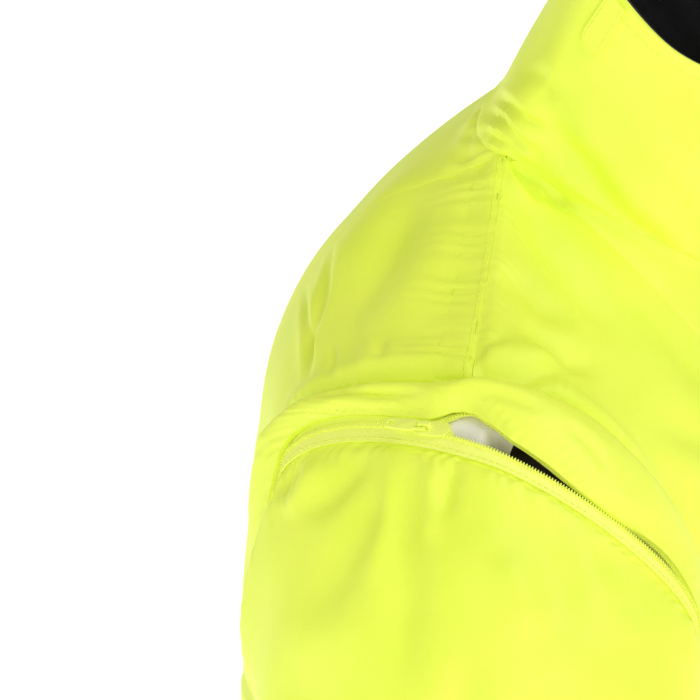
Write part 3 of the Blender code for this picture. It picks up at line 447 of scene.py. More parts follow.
def creases(cloth, points, normals):
    """Height that the creases of one cloth add at its points. Both sides have them, a little uneven."""
    added = np.zeros(len(points))
    for side, (amount, shift, hidden_shift) in UNEVEN.items():
        here = points[:, 0] * side >= 0.0
        if not here.any():
            continue
        spot, way = mirrored(points[here], -side), mirrored(normals[here], -side)
        facing = ease((way @ BACK_WAY) / 0.3)
        places = photo_place(spot)
        total = np.zeros(len(spot))
        for crease in CREASES[cloth]:
            total += amount * facing * trough(places, METRES_A_PIXEL, crease, shift)
        flat = np.abs(spot[:, 0:3:2]) * np.array((1.0, -1.0))
        for kind, rows in HIDDEN_CREASES.items():
            if not kind.startswith(cloth):
                continue
            side_way = way[:, 1] if "back" in kind else -way[:, 1]
            for crease in rows:
                total += HIDDEN_GAIN * ease(side_way / 0.3) * trough(flat, 1.0, crease, hidden_shift)
        added[here] = total
    return added


def ripple(points, size, amount, seed):
    """Soft unevenness: a few slow waves in fixed directions."""
    chance = np.random.default_rng(seed)
    total = np.zeros(points.shape[:-1])
    for _ in range(6):
        way = chance.normal(size=3)
        way *= 2.0 * math.pi / (size * chance.uniform(0.7, 1.6) * np.linalg.norm(way))
        total += np.sin(points @ way + chance.uniform(0.0, 6.28))
    return total * amount / math.sqrt(6.0)


def pucker(far, along, amount, pitch, reach, seed):
    """Small gathers across a seam, deepest on it. far and along are in metres."""
    drift = 1.9 * np.sin(along * 2 * math.pi / (pitch * 3.7) + seed)
    wave = np.sin(along * 2 * math.pi / pitch + drift + seed)
    uneven = 0.65 + 0.35 * np.sin(along * 2 * math.pi / (pitch * 5.3) + 2.0 * seed)
    return amount * wave * uneven * np.exp(-far / reach)


def length_along(points):
    """Running length of each row of a grid, from its first column."""
    steps = np.linalg.norm(np.diff(points, axis=-2), axis=-1)
    return np.concatenate((np.zeros(steps.shape[:-1] + (1,)), np.cumsum(steps, axis=-1)), axis=-1)


def length_down(grid):
    """Running length of each column of a grid, from its first row."""
    return np.swapaxes(length_along(np.swapaxes(grid, 0, 1)), 0, 1)


def grid_normals(grid, inward, closed=False):
    """Unit normals of a grid that point away from inward. closed is for a grid whose rows are rings."""
    around = np.gradient(grid, axis=1)
    if closed:
        around = np.roll(grid, -1, axis=1) - np.roll(grid, 1, axis=1)
    normals = unit(np.cross(around, np.gradient(grid, axis=0)))
    return normals * -math.copysign(1.0, np.sum(normals * inward))


# ---- Meshes ----
def placed(name, data):
    """A new object in the scene."""
    made = bpy.data.objects.new(name, data)
    bpy.context.scene.collection.objects.link(made)
    return made


def make_mesh(name, points, faces, finish, body="jacket", nodes=(), sharp=50.0):
    mesh = bpy.data.meshes.new(name)
    mesh.from_pydata(np.asarray(points).tolist(), [], faces)
    mesh.update()
    mesh.shade_smooth()
    if sharp:
        mesh.set_sharp_from_angle(angle=math.radians(sharp))
    mesh.materials.append(finish)
    made = placed(name, mesh)
    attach(made, body)
    if nodes:
        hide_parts(*nodes)
    return made


def picks(count, stride=3):
    """Every third number from 0 to count, with both ends."""
    return np.unique(np.append(np.arange(0, count, stride), count))


PAINTED_SHADE_BELOW = -0.045  # below this height a wall's inner side is coloured dark: painted shade of the garment's unlit inside


def wall(name, outer, inner, finish, nodes=(), closed=False, painted_shade_inside=False):
    """One closed cloth wall between two grids of points. Its inner side is coarser, and its lower faces can
    take a dark colour as painted shade.
    """
    rows, columns = outer.shape[:2]
    index = np.arange(rows * columns).reshape(rows, columns)
    down, across = picks(rows - 1), picks(columns if closed else columns - 1)
    low = inner[down][:, across[:-1] if closed else across]
    low_index = rows * columns + np.arange(low.shape[0] * low.shape[1]).reshape(low.shape[:2])
    if closed:
        index = np.concatenate((index, index[:, :1]), axis=1)
        low_index = np.concatenate((low_index, low_index[:, :1]), axis=1)
    points = np.concatenate((outer.reshape(-1, 3), low.reshape(-1, 3)))
    faces = []
    for sheet, turned in ((index, False), (low_index, True)):
        corners = (sheet[:-1, :-1], sheet[:-1, 1:], sheet[1:, 1:], sheet[1:, :-1])
        quads = np.stack(corners, -1).reshape(-1, 4)
        faces += (quads[:, ::-1] if turned else quads).tolist()
    rims = [(index[0], low_index[0], across, True), (index[-1], low_index[-1], across, False)]
    if not closed:
        rims += [(index[:, 0], low_index[:, 0], down, False), (index[:, -1], low_index[:, -1], down, True)]
    for fine, coarse, stops, turned in rims:
        for k in range(len(stops) - 1):
            face = fine[stops[k]:stops[k + 1] + 1].tolist() + [int(coarse[k + 1]), int(coarse[k])]
            faces.append(face[::-1] if turned else face)
    facing = np.cross(outer[:-1, 1:] - outer[:-1, :-1], outer[1:, :-1] - outer[:-1, :-1])
    if np.sum(facing * (outer - inner)[:-1, :-1]) < 0.0:
        faces = [face[::-1] for face in faces]
    made = make_mesh(name, points, faces, finish, nodes=nodes)
    # Painted shade: the inner side's lower faces take a dark olive-brown colour for the unlit inside of the
    # garment.
    if painted_shade_inside:
        made.data.materials.append(PAINTED_SHADE_INSIDE)
        fine = (index.shape[0] - 1) * (index.shape[1] - 1)
        coarse = (low_index.shape[0] - 1) * (low_index.shape[1] - 1)
        numbers = np.zeros(len(faces), dtype=np.int32)
        corners = np.array(faces[fine:fine + coarse])
        numbers[fine:fine + coarse] = points[corners].mean(axis=1)[:, 2] < PAINTED_SHADE_BELOW
        made.data.polygons.foreach_set("material_index", numbers)
    return made


def bead(sides, rings):
    """Template of a small bead along x: its points (x from -1 to 1, radius 1) and faces."""
    points, faces = [], []
    for x, radius in rings:
        for i in range(sides):
            turn = 2 * math.pi * i / sides
            points.append((x, radius * math.cos(turn), radius * math.sin(turn)))
    for ring in range(len(rings) - 1):
        for i in range(sides):
            k = (i + 1) % sides
            base = ring * sides
            faces.append((base + i, base + sides + i, base + sides + k, base + k))
    faces.append(tuple(range(sides)))
    faces.append(tuple(reversed([(len(rings) - 1) * sides + i for i in range(sides)])))
    return np.array(points), faces


def beads(places, axes, sides, rings):
    """Points and faces of one bead at each place. axes is (x, y, z) with each one's length in it."""
    points, faces = bead(sides, rings)
    spread = np.einsum("pa,nab->npb", points, axes) + places[:, None, :]
    each = [[tuple(i + n * len(points) for i in face) for face in faces] for n in range(len(places))]
    return spread.reshape(-1, 3), [face for group in each for face in group]


def square_to(vectors, way):
    """Unit vectors across way."""
    return unit(vectors - way * np.sum(vectors * way, axis=-1, keepdims=True))


def spaced(points, normals, pitch, over=None):
    """Places, directions and normals at even steps along a line of points, and over's vectors there."""
    run = length_along(points[None])[0]
    count = max(int(run[-1] / pitch), 1)
    at = (np.arange(count) + 0.5) * run[-1] / count
    lines = (points, np.gradient(points, axis=0), normals, normals if over is None else over)
    place, way, up, cross = [
        np.stack([np.interp(at, run, line[:, i]) for i in range(3)], -1) for line in lines]
    way = unit(way)
    return place, way, square_to(up, way), square_to(cross, way)


STITCH_RINGS = ((-1.0, 0.45), (-0.6, 1.0), (0.6, 1.0), (1.0, 0.45))
STITCH_PITCH = 0.0034
STITCH_HALF = 0.00125
STITCH_RADIUS = 0.00028
seams = {}


def sew(name, points, normals, pitch=STITCH_PITCH):
    """Stitches along a line that lies on cloth. They are gathered by name and made at the end."""
    place, way, up = spaced(points, normals, pitch)[:3]
    across = np.cross(up, way)
    axes = np.stack((way * STITCH_HALF, across * STITCH_RADIUS, up * STITCH_RADIUS), 1)
    seams.setdefault(name, []).append((place + up * STITCH_RADIUS * 0.45, axes))


def make_stitches(finish):
    for name, lines in seams.items():
        places = np.concatenate([line[0] for line in lines])
        axes = np.concatenate([line[1] for line in lines])
        points, faces = beads(places, axes, 4, STITCH_RINGS)
        make_mesh(name, points, faces, finish, sharp=None)


TOOTH_PITCH = 0.00145
TOOTH_RINGS = ((-1.0, 0.55), (-0.5, 1.0), (0.55, 1.0), (1.0, 0.6))
TOOTH_HALF = (0.00125, 0.00052, 0.00078)  # across the zip, along it and up
TOOTH_LIFT = 0.00025
TOOTH_BACK = 0.0004  # its middle lies this far inside the tape's edge


def coil(name, lines, finish):
    """Zip teeth along edges of tapes. A line is (points, outward normals, ways across the zip, stagger)."""
    all_points, all_faces, total = [], [], 0
    for points, normals, over, stagger in lines:
        place, way, up, cross = spaced(points, normals, TOOTH_PITCH, over)
        square = np.cross(cross, way)
        up = unit(square * np.sign(np.sum(square * up, axis=-1, keepdims=True)))
        place = place + way * (TOOTH_PITCH * 0.5 * stagger) + up * TOOTH_LIFT - cross * TOOTH_BACK
        axes = np.stack((cross * TOOTH_HALF[0], way * TOOTH_HALF[1], up * TOOTH_HALF[2]), 1)
        points_here, faces = beads(place, axes, 6, TOOTH_RINGS)
        all_points.append(points_here)
        all_faces += [tuple(i + total for i in face) for face in faces]
        total += len(points_here)
    return make_mesh(name, np.concatenate(all_points), all_faces, finish, sharp=None)


# ---- Finishes ----
def new_material(name, colour, roughness, **sockets):
    """A Principled material and its parts: (material, node tree, shader)."""
    made = bpy.data.materials.new(name)
    made.use_nodes = True
    made.diffuse_color = (*colour, 1.0)
    shader = made.node_tree.nodes["Principled BSDF"]
    shader.inputs["Base Color"].default_value = (*colour, 1.0)
    shader.inputs["Roughness"].default_value = roughness
    for socket, value in sockets.items():
        shader.inputs[socket.replace("_", " ")].default_value = value
    return made, made.node_tree, shader


def noise(tree, scale, detail, place):
    node = tree.nodes.new("ShaderNodeTexNoise")
    node.inputs["Scale"].default_value = scale
    node.inputs["Detail"].default_value = detail
    tree.links.new(place, node.inputs["Vector"])
    return node.outputs["Fac"]


def vary(tree, shader, factor, dark, light):
    """The base colour runs from dark to light with a factor."""
    ramp = tree.nodes.new("ShaderNodeValToRGB")
    ramp.color_ramp.elements[0].position = 0.35
    ramp.color_ramp.elements[1].position = 0.65
    ramp.color_ramp.elements[0].color = (*dark, 1.0)
    ramp.color_ramp.elements[1].color = (*light, 1.0)
    tree.links.new(factor, ramp.inputs["Fac"])
    tree.links.new(ramp.outputs["Color"], shader.inputs["Base Color"])


def raise_grain(tree, shader, layers):
    """Bumps one on another. Each layer is (height, strength, distance in metres)."""
    last = None
    for height, strength, distance in layers:
        bump = tree.nodes.new("ShaderNodeBump")
        bump.inputs["Strength"].default_value = strength
        bump.inputs["Distance"].default_value = distance
        tree.links.new(height, bump.inputs["Height"])
        if last:
            tree.links.new(last, bump.inputs["Normal"])
        last = bump.outputs["Normal"]
    tree.links.new(last, shader.inputs["Normal"])


def cloth_material(name, dark, light, roughness, sheen, crumple, grain, painted_glow=0.0, metallic=0.0):
    """Woven cloth: slow unevenness of colour, small crumples and a fine grain, with an even glow that is
    painted light.
    """
    made, tree, shader = new_material(name, light, roughness, Metallic=metallic)
    shader.inputs["Sheen Weight"].default_value = sheen
    shader.inputs["Sheen Roughness"].default_value = 0.45
    shader.inputs["Sheen Tint"].default_value = (*light, 1.0)
    # Painted light: an even emission makes the cloth glow as if fluorescent.
    shader.inputs["Emission Color"].default_value = (*light, 1.0)
    shader.inputs["Emission Strength"].default_value = painted_glow
    place = tree.nodes.new("ShaderNodeTexCoord").outputs["Object"]
    vary(tree, shader, noise(tree, 14.0, 4.0, place), dark, light)
    layers = [(noise(tree, 75.0, 3.0, place), crumple, 0.0012)]
    layers.append((noise(tree, 1400.0, 1.0, place), grain, 0.0003))
    raise_grain(tree, shader, layers)
    return made


# name, dark, light, roughness, sheen, crumple, grain, glow (painted light: an emission for the fluorescent
# shine), metallic
FINISHES = (
    ("shell_cloth", (0.77, 0.90, 0.058), (0.85, 0.96, 0.085), 0.55, 0.06, 0.30, 0.30, 0.10),
    ("band_cloth", (0.78, 0.90, 0.060), (0.86, 0.97, 0.090), 0.53, 0.06, 0.24, 0.30, 0.10),
    ("zip_tape_weave", (0.83, 0.90, 0.13), (0.90, 0.96, 0.17), 0.62, 0.2, 0.1, 0.7, 0.10),
    ("zip_teeth", (0.81, 0.89, 0.10), (0.88, 0.95, 0.13), 0.38, 0.0, 0.0, 0.1, 0.08),
    ("sewing_thread", (0.78, 0.87, 0.085), (0.85, 0.93, 0.11), 0.60, 0.2, 0.0, 0.3, 0.06),
    ("slider_enamel", (0.80, 0.90, 0.12), (0.86, 0.94, 0.15), 0.28, 0.0, 0.0, 0.05, 0.08),
    # inner_side is painted shade, not a cloth colour: dark olive-brown standing in for the unlit inside
    # seen through openings.
    ("inner_side", (0.040, 0.032, 0.008), (0.075, 0.060, 0.018), 0.8, 0.0, 0.3, 0.5),
    ("collar_knit", (0.008, 0.008, 0.010), (0.022, 0.022, 0.026), 0.85, 0.3, 0.2, 1.0),
    ("pale_lining", (0.78, 0.74, 0.62), (0.90, 0.87, 0.78), 0.75, 0.2, 0.4, 0.6),
    ("reflective_tape", (0.50, 0.52, 0.54), (0.62, 0.64, 0.66), 0.38, 0.0, 0.12, 0.6, 0.0, 0.55),
)
SHELL, BAND, TAPE_CLOTH, TEETH, THREAD, ENAMEL, PAINTED_SHADE_INSIDE, BLACK, PALE, SILVER = [
    cloth_material(*finish) for finish in FINISHES]

# ---- Wear ----
# Depth of a sewn edge and its reach into the cloth.
SEAM_DIPS = {"seam": (0.0009, 0.0026), "fold": (0.0030, 0.0026), "tuck": (0.0100, 0.0070)}
# Small gathers: depth, pitch and reach.
SEAM_PUCKER = (0.0082, 0.011)  # its depth is in the table below
STRIP_PUCKER = (0.0013, 0.0105, 0.009)
TAPE_PUCKER = (0.0009, 0.0085, 0.012)
# Each cloth's seeds on the right and left, how soon creases start at a seam, waves and depth of gathers.
WEAR = {
    "back": ((11, 11), 0.006, 0.0011, 0.0005),
    "front": ((21, 31), 0.006, 0.0011, 0.0005),
    "collar": ((41, 41), 0.005, 0.0008, 0.0007),
    "sleeve": ((61, 71), 0.013, 0.0014, 0.0),
    "band": ((81, 91), 0.004, 0.0007, 0.0007),
}
SEAM_FLAT = 0.002  # the gathers ease in over this distance from a seam
STRIP_THICK = 0.0003
PILLOW = 0.0022  # a panel swells before it folds over the armhole band
PILLOW_AT = 0.008
PILLOW_REACH = 0.006
TUCK = 0.005  # how far the band reaches under that fold
NECK_ROLL = 0.0032  # the padding lifts both sides of the neck seam
ROLL_REACH = 0.009
EDGE_REACH = 0.012  # this near a panel's side edges its inner side turns to lie along inward


def worn(cloth, grid, inward, sides, side=RIGHT, closed=False):
    """Heights that creases, waves and seams add to a grid, and its outward normals.

    sides names what each edge of the grid is: a "seam", a "fold" over a neighbour, a "tuck" under one,
    "still" or "free".
    """
    seeds, fade_in, waves, pull = WEAR[cloth]
    seed = seeds[0] if side == RIGHT else seeds[1]
    normals = grid_normals(grid, inward, closed)
    across = length_along(grid)
    down = length_down(grid)
    far = {"top": down, "bottom": down[-1:] - down, "first": across, "last": across[:, -1:] - across}
    run = {"top": across, "bottom": across, "first": down, "last": down}
    height = creases(cloth, grid.reshape(-1, 3), normals.reshape(-1, 3)).reshape(grid.shape[:2])
    height += ripple(grid, 0.13, waves, seed) + ripple(grid, 0.045, waves * 0.35, seed + 50)
    sewn = np.zeros(grid.shape[:2])
    for number, (edge, kind) in enumerate(sides.items()):
        if kind == "free":
            continue
        height *= ease(far[edge] / fade_in)
        if kind in SEAM_DIPS:
            depth, reach = SEAM_DIPS[kind]
            sewn -= depth * np.exp(-((far[edge] / reach) ** 2))
        if kind == "fold":
            sewn += PILLOW * np.exp(-(((far[edge] - PILLOW_AT) / PILLOW_REACH) ** 2))
        gathered = pucker(far[edge], run[edge], pull, *SEAM_PUCKER, seed + number)
        sewn += gathered * ease(far[edge] / SEAM_FLAT)
    return height + sewn, normals


def inner_side(outer, inward, normals):
    """The inner side of a padded panel: straight in, but along inward at the panel's side edges."""
    across = length_along(outer)
    edge = 1.0 - ease(across / EDGE_REACH) * ease((across[:, -1:] - across) / EDGE_REACH)
    return outer + unit(inward * edge[..., None] - normals * (1.0 - edge[..., None])) * CLOTH


def laid_on(name, outer, normals, finish, node, closed=False, thick=TAPE, gap=SEAM_GAP):
    """A band that lies on part of a cloth grid."""
    wall(name, outer + normals * (gap + thick), outer + normals * gap, finish, (node,), closed)


def lay_hoops(word, spans, levels, outer, normals, closed=False):
    """Reflective bands across a cloth grid, sewn along both edges."""
    for number, (start, end) in enumerate(spans, 1):
        rows = (levels >= start) & (levels <= end)
        node = f"{word}_{number}"
        part, way = outer[rows], normals[rows]
        laid_on(f"reflective_{node}", part, way, SILVER, node, closed)
        for row in (1, -2):
            sew("hoop_stitches", part[row] + way[row] * (SEAM_GAP + TAPE), way[row])


def level_row(levels, level):
    return int(np.argmin(np.abs(levels - level)))


# ---- Body ----
TORSO_LEVELS = np.unique(np.concatenate((
    np.linspace(0.0, STRIP_LEVEL, 9), np.linspace(STRIP_LEVEL, ARMPIT, 160),
    np.linspace(ARMPIT, LAST_LEVEL, 76), *TORSO_HOOPS)))
# Grid steps along the neck seam and along the shoulder seam. The side that the photo shows is finer.
BACK_COUNTS = {RIGHT: (52, 96), LEFT: (36, 70)}
FRONT_COUNTS = {RIGHT: (62, 112), LEFT: (48, 86)}


def zip_share(level):
    shares = np.linspace(0.0, 0.2, 60)
    return float(np.interp(FRONT_ZIP_HALF, panel_line(FRONT_ROWS, shares, level)[:, 0], shares))


def panel_grid(rows, counts, side):
    """Half of a panel, from its middle or its zip to the armhole and side seam."""
    lines = []
    for level in TORSO_LEVELS:
        start = zip_share(level) if rows is FRONT_ROWS else 0.0
        near = np.linspace(start, NECK_SHARE, counts[0], endpoint=False)
        shares = np.concatenate((near, np.linspace(NECK_SHARE, 1.0, counts[1])))
        lines.append(mirrored(panel_line(rows, shares, level), side))
    grid = np.array(lines)
    inward = torso_inward(grid)
    arm = TORSO_LEVELS <= ARMPIT
    inward[arm, -1] = armhole_inward(grid[arm, -1])
    return grid, inward


def armhole_inward(points):
    away = np.array((0.0, ARMHOLE["y"], ARMHOLE["z"])) - points
    away[..., 0] = 0.0
    return unit(torso_inward(points) + unit(away))


def drawn_back(grid, gap=SEAM_GAP / 2, sides=("top", "first", "last")):
    """The grid with its sewn edges drawn in, so that neighbours don't touch."""
    grid = grid.copy()
    if "top" in sides:
        grid[0] += unit(grid[1] - grid[0]) * gap
    if "first" in sides:
        grid[:, 0] += unit(grid[:, 1] - grid[:, 0]) * gap
    if "last" in sides:
        grid[:, -1] += unit(grid[:, -2] - grid[:, -1]) * gap
    return grid


def neck_roll(grid, at_neck):
    """Lift of a panel along the neck seam, softened towards the shoulder seam."""
    down = length_down(grid)
    weight = np.convolve(np.pad(at_neck.astype(float), 6, mode="edge"), np.ones(13) / 13.0, mode="valid")
    return NECK_ROLL * weight * np.exp(-((down / ROLL_REACH) ** 2))


def build_back():
    """The back, its reflective bands and the felled strips along its shoulder seams."""
    right, right_in = panel_grid(BACK_ROWS, BACK_COUNTS[RIGHT], RIGHT)
    left, left_in = panel_grid(BACK_ROWS, BACK_COUNTS[LEFT], LEFT)
    grid = np.concatenate((right[:, ::-1], left[:, 1:]), axis=1)
    inward = np.concatenate((right_in[:, ::-1], left_in[:, 1:]), axis=1)
    sides = {"top": "seam", "first": "fold", "last": "fold", "bottom": "free"}
    height, normals = worn("back", grid, inward, sides)
    strip_row = level_row(TORSO_LEVELS, STRIP_LEVEL)
    down = length_down(grid)
    from_strip = np.abs(down - down[strip_row:strip_row + 1])
    right_end, left_start = BACK_COUNTS[RIGHT][1], grid.shape[1] - BACK_COUNTS[LEFT][1]
    columns = np.arange(grid.shape[1])
    spread = ease((right_end - 1 - columns) / 12.0) + ease((columns - left_start) / 9.0)
    height += spread * pucker(from_strip, length_along(grid), *STRIP_PUCKER, 3.0)
    height += neck_roll(grid, (columns >= right_end) & (columns < left_start))
    outer = drawn_back(grid) + normals * height[..., None]
    inner = inner_side(outer, inward, normals)
    wall("jacket_back", outer, inner, SHELL, ("back",), painted_shade_inside=True)
    lay_hoops("back_hoop", TORSO_HOOPS, TORSO_LEVELS, outer, normals)
    for word, columns in (("right", slice(1, right_end - 1)), ("left", slice(left_start + 1, -1))):
        part, way = outer[1:strip_row + 1, columns], normals[1:strip_row + 1, columns]
        node = f"shoulder_strip_{word}"
        thinning = 0.1 + 0.9 * ease((len(part) - 1.0 - np.arange(len(part))) / 3.0)
        thick = STRIP_THICK * thinning[:, None, None]
        laid_on(f"jacket_{node}", part, way, SHELL, node, thick=thick, gap=0.0)
        sew("shoulder_stitches", part[1] + way[1] * STRIP_THICK, way[1])
    sew("hem_stitches", outer[-5], normals[-5])


def build_front(side, word):
    grid, inward = panel_grid(FRONT_ROWS, FRONT_COUNTS[side], side)
    sides = {"top": "seam", "first": "still", "last": "fold", "bottom": "free"}
    height, normals = worn("front", grid, inward, sides, side)
    height += neck_roll(grid, np.arange(grid.shape[1]) < FRONT_COUNTS[side][0])
    outer = drawn_back(grid) + normals * height[..., None]
    inner = inner_side(outer, inward, normals)
    wall(f"jacket_front_{word}", outer, inner, SHELL, (f"front_{word}",), painted_shade_inside=True)
    lay_hoops(f"front_hoop_{word}", TORSO_HOOPS, TORSO_LEVELS, outer, normals)
    sew("hem_stitches", outer[-5], normals[-5])
    sew("front_zip_stitches", outer[:-2, 3], normals[:-2, 3])


# ---- Collar ----
COLLAR_COUNTS = (170, 110)  # grid points from the zip to the back, right and left
COLLAR_ROWS = 61
COLLAR_LINING = 0.0015  # thickness of its knitted lining
TAB_LIFT = 0.0006  # the tab stands this far off the collar


def collar_points(angles, height):
    """Points (out, y, z) of the collar: height 0 on the neck seam, 1 at its top edge."""
    foot = neck_points(angles)
    top = read(COLLAR_COLUMNS, COLLAR_TOP, angles)
    head = np.stack((top["top_out"], top["top_y"], top["top_z"]), -1)
    away = foot + np.array((0.0, 0.02, 0.0))
    away[..., 2] = 0.0
    bulge = read(("turn", "bulge"), COLLAR_BULGES, angles)["bulge"][:, None]
    return foot * (1.0 - height) + head * height + unit(away) * bulge * math.sin(math.pi * height) ** 1.5


def build_collar():
    first = math.degrees(math.asin(FRONT_ZIP_HALF / NECK_HALF_WIDTH))
    right = np.linspace(first, 180.0, COLLAR_COUNTS[0])
    left = np.linspace(180.0, first, COLLAR_COUNTS[1])[1:]
    lines = []
    for height in np.linspace(0.0, 1.0, COLLAR_ROWS):
        one, other = collar_points(right, height), collar_points(left, height)
        lines.append(np.concatenate((mirrored(one, RIGHT), mirrored(other, LEFT))))
    grid = np.array(lines)
    inward = grid.mean(axis=1, keepdims=True) - grid
    inward[..., 2] = 0.0
    inward = unit(inward)
    sides = {"top": "seam", "bottom": "still", "first": "still", "last": "still"}
    height, normals = worn("collar", grid, inward, sides)
    base = drawn_back(grid, SEAM_GAP, ("top",))
    down = length_down(grid)
    height += NECK_ROLL * np.exp(-((down / ROLL_REACH) ** 2))
    outer = base + normals * height[..., None]
    wall("jacket_collar", outer, outer + inward * CLOTH, SHELL, ("collar",))
    start = outer + inward * (CLOTH + SEAM_GAP * 1.5)
    deep = start + inward * COLLAR_LINING
    wall("jacket_collar_lining", start, deep, BLACK, ("collar_lining",))
    sew("collar_stitches", outer[-5], normals[-5])
    for column in (3, -4):
        sew("collar_stitches", outer[:-3, column], normals[:-3, column])


def build_collar_tab():
    """Small round-ended tab sewn on under the collar's upper edge."""
    half_turn = math.degrees(COLLAR_TAB["half_width"] / NECK_HALF_WIDTH)
    rows = []
    for up_share in np.linspace(0.0, 1.0, 26):
        height = COLLAR_TAB["low"] + (COLLAR_TAB["high"] - COLLAR_TAB["low"]) * up_share
        spread = math.sqrt(max(1.0 - (1.0 - min(up_share / 0.28, 1.0)) ** 2, 0.02))
        turns = COLLAR_TAB["angle"] + half_turn * spread * np.linspace(-1.0, 1.0, 15)
        rows.append(mirrored(collar_points(turns, height), RIGHT))
    base = np.array(rows)
    outward = np.array((RIGHT, 0.0, 0.0)) * np.ones(base.shape)
    laid_on("jacket_collar_tab", base + outward * TAB_LIFT, outward, SHELL, "collar_tab",
            thick=COLLAR_TAB["thick"])
    lift = outward * (COLLAR_TAB["thick"] + TAB_LIFT + SEAM_GAP)
    for line in (base[3:, 2], base[3:, -3]):
        sew("collar_stitches", line + lift[3:, 0], outward[3:, 0])


# ---- Front zip ----
def front_zip_line(out):
    """Points and inward ways up the front from the hem to the zip's end on the collar."""
    points, ways = [], []
    for level in reversed(TORSO_LEVELS):
        share = zip_share(level) * out / FRONT_ZIP_HALF
        point = panel_line(FRONT_ROWS, np.array((share,)), level)[0]
        points.append((out, point[1], point[2]))
        ways.append(torso_inward(point) * np.array((0.0, 1.0, 1.0)))
    turn = math.degrees(math.asin(FRONT_ZIP_HALF / NECK_HALF_WIDTH))
    for height in np.linspace(*COLLAR_ZIP, 30):
        point = collar_points(turn, height)[0]
        points.append((out, point[1], point[2]))
        ways.append((0.0, 1.0, 0.0))
    return np.array(points), np.array(ways)


def build_front_zip():
    edge, ways = front_zip_line(FRONT_ZIP_HALF - SEAM_GAP * 3)
    middle = front_zip_line(SEAM_GAP / 2)[0]
    lines = []
    for side, word in ((RIGHT, "right"), (LEFT, "left")):
        near, far, way = mirrored(edge, side), mirrored(middle, side), unit(mirrored(ways, side))
        outer = np.stack((near, near * 0.5 + far * 0.5, far), axis=0)
        node = f"front_zip_tape_{word}"
        wall(f"jacket_{node}", outer, outer + way[None] * TAPE, TAPE_CLOTH, (node,))
        over = np.zeros(far.shape) - np.array((side, 0.0, 0.0))
        lines.append((far, -way, over, 0 if side == RIGHT else 1))
    coil("jacket_front_zip_teeth", lines, TEETH)


# ---- Sleeves, armhole bands and their zips ----
FIRST_LEVEL = TAPE_LEVEL * TAPE_FREE / ZIP_TAPE_WIDTH
SLEEVE_LEVELS = np.unique(np.concatenate((
    np.linspace(FIRST_LEVEL, TAPE_LEVEL, 3), np.linspace(TAPE_LEVEL, 3.0, 66),
    np.linspace(3.0, LAST_LEVEL, 96), *SLEEVE_HOOPS)))
TAPE_ROW = level_row(SLEEVE_LEVELS, TAPE_LEVEL)
BAND_ROWS = 27
HEAD_PUFF = 0.004  # the sleeve's cloth swells below its tape
REAR_PUFF = 0.006  # and more at this angle, behind the photo's edge
REAR_ANGLE = -98.0


def ring_angles(side):
    count = 230 if side == RIGHT else 170
    steps = (np.linspace(-180.0, -90.0, 46), np.linspace(-90.0, 82.0, count), np.linspace(82.0, 180.0, 56))
    return np.unique(np.concatenate(steps))[:-1]


def sleeve_middle(level):
    row = {name: value[0] for name, value in read(SLEEVE_COLUMNS, SLEEVE_ROWS, level).items()}
    out, z = row["outer_out"] + row["inner_out"], row["outer_z"] + row["inner_z"]
    across = 0.5 * np.array((row["outer_out"] - row["inner_out"], 0.0, row["outer_z"] - row["inner_z"]))
    middle = np.array((0.5 * out, 0.5 * (row["back_y"] + row["front_y"]), 0.5 * z))
    return middle, across, 0.5 * (row["back_y"] - row["front_y"])


def sleeve_line(angles, level):
    """Points (out, y, z) round the sleeve: level 0 is the zip line, level 8 the cuff's edge."""
    middle, across, half = sleeve_middle(level)
    radians = np.radians(angles)
    turned = radians + np.radians(ZIP_RING["phase"] * (0.5 + 0.5 * np.cos(radians)) + ZIP_RING["turn"])
    plain = middle + np.cos(turned)[:, None] * across - np.sin(turned)[:, None] * np.array((0.0, half, 0.0))
    ring = ring_points(ZIP_RING, angles) + middle - sleeve_middle(0.0)[0]
    blend = float(ease(level / 2.0))
    return ring * (1.0 - blend) + plain * blend


def gathers(angles, level):
    """How far the gathers pull the sleeve's surface in."""
    total = np.zeros(len(angles))
    for row in GATHERS:
        gather = dict(zip(GATHER_COLUMNS, row))
        away = (angles - gather["angle"] + 180.0) % 360.0 - 180.0
        spread = gather["width"] * (1.0 + 0.35 * level)
        fade = ease((level - 0.1) / 0.4) * (1.0 - ease(level / gather["reach"]))
        total += gather["depth"] * np.exp(-((away / spread) ** 2)) * fade
    return total


def sleeve_grid(side, angles):
    zip_line = ring_points(ZIP_RING, angles)
    tape_row = zip_line + unit(sleeve_line(angles, 0.3) - zip_line) * ZIP_TAPE_WIDTH
    short = tape_row - sleeve_line(angles, TAPE_LEVEL)
    lines, puffs = [], []
    for level in SLEEVE_LEVELS:
        share = level / TAPE_LEVEL
        past = (level - TAPE_LEVEL) / (NEXT_LEVEL - TAPE_LEVEL)
        line = sleeve_line(angles, level) + short * (1.0 - ease(past))
        if level < TAPE_LEVEL:
            line = zip_line + (tape_row - zip_line) * share
        puff = gathers(angles, level) - HEAD_PUFF * ease(level / 0.6) * (1.0 - ease(level / 2.5))
        puff += (TAPE + SEAM_GAP) * (1.0 - ease((level - TAPE_LEVEL) / 0.5))
        rear = REAR_PUFF * np.exp(-(((angles - REAR_ANGLE) / 30.0) ** 2))
        puff -= rear * ease(level / 0.5) * (1.0 - ease(level / 3.0))
        lines.append(mirrored(line, side))
        puffs.append(puff)
    grid = np.array(lines)
    heart = np.array([mirrored(sleeve_middle(level)[0], side) for level in SLEEVE_LEVELS])
    inward = -grid_normals(grid, heart[:, None, :] - grid, True)
    return grid + inward * np.array(puffs)[..., None], inward


def openings_at(angles, opened):
    """Gap between the two zip tapes at each angle, and how far the band's edge stands from its tape's."""
    gap, rim = np.full(len(angles), SEAM_GAP), np.full(len(angles), BAND_RIM)
    if opened:
        row = read(OPENING_COLUMNS, OPENING, angles)
        apart = (angles > OPENING[0][0]) & (angles < OPENING[-1][0])
        gap = np.where(apart, np.maximum(row["gap"], SEAM_GAP), gap)
        rim = np.where(apart, row["rim"], rim)
    return gap[:, None], rim[:, None]


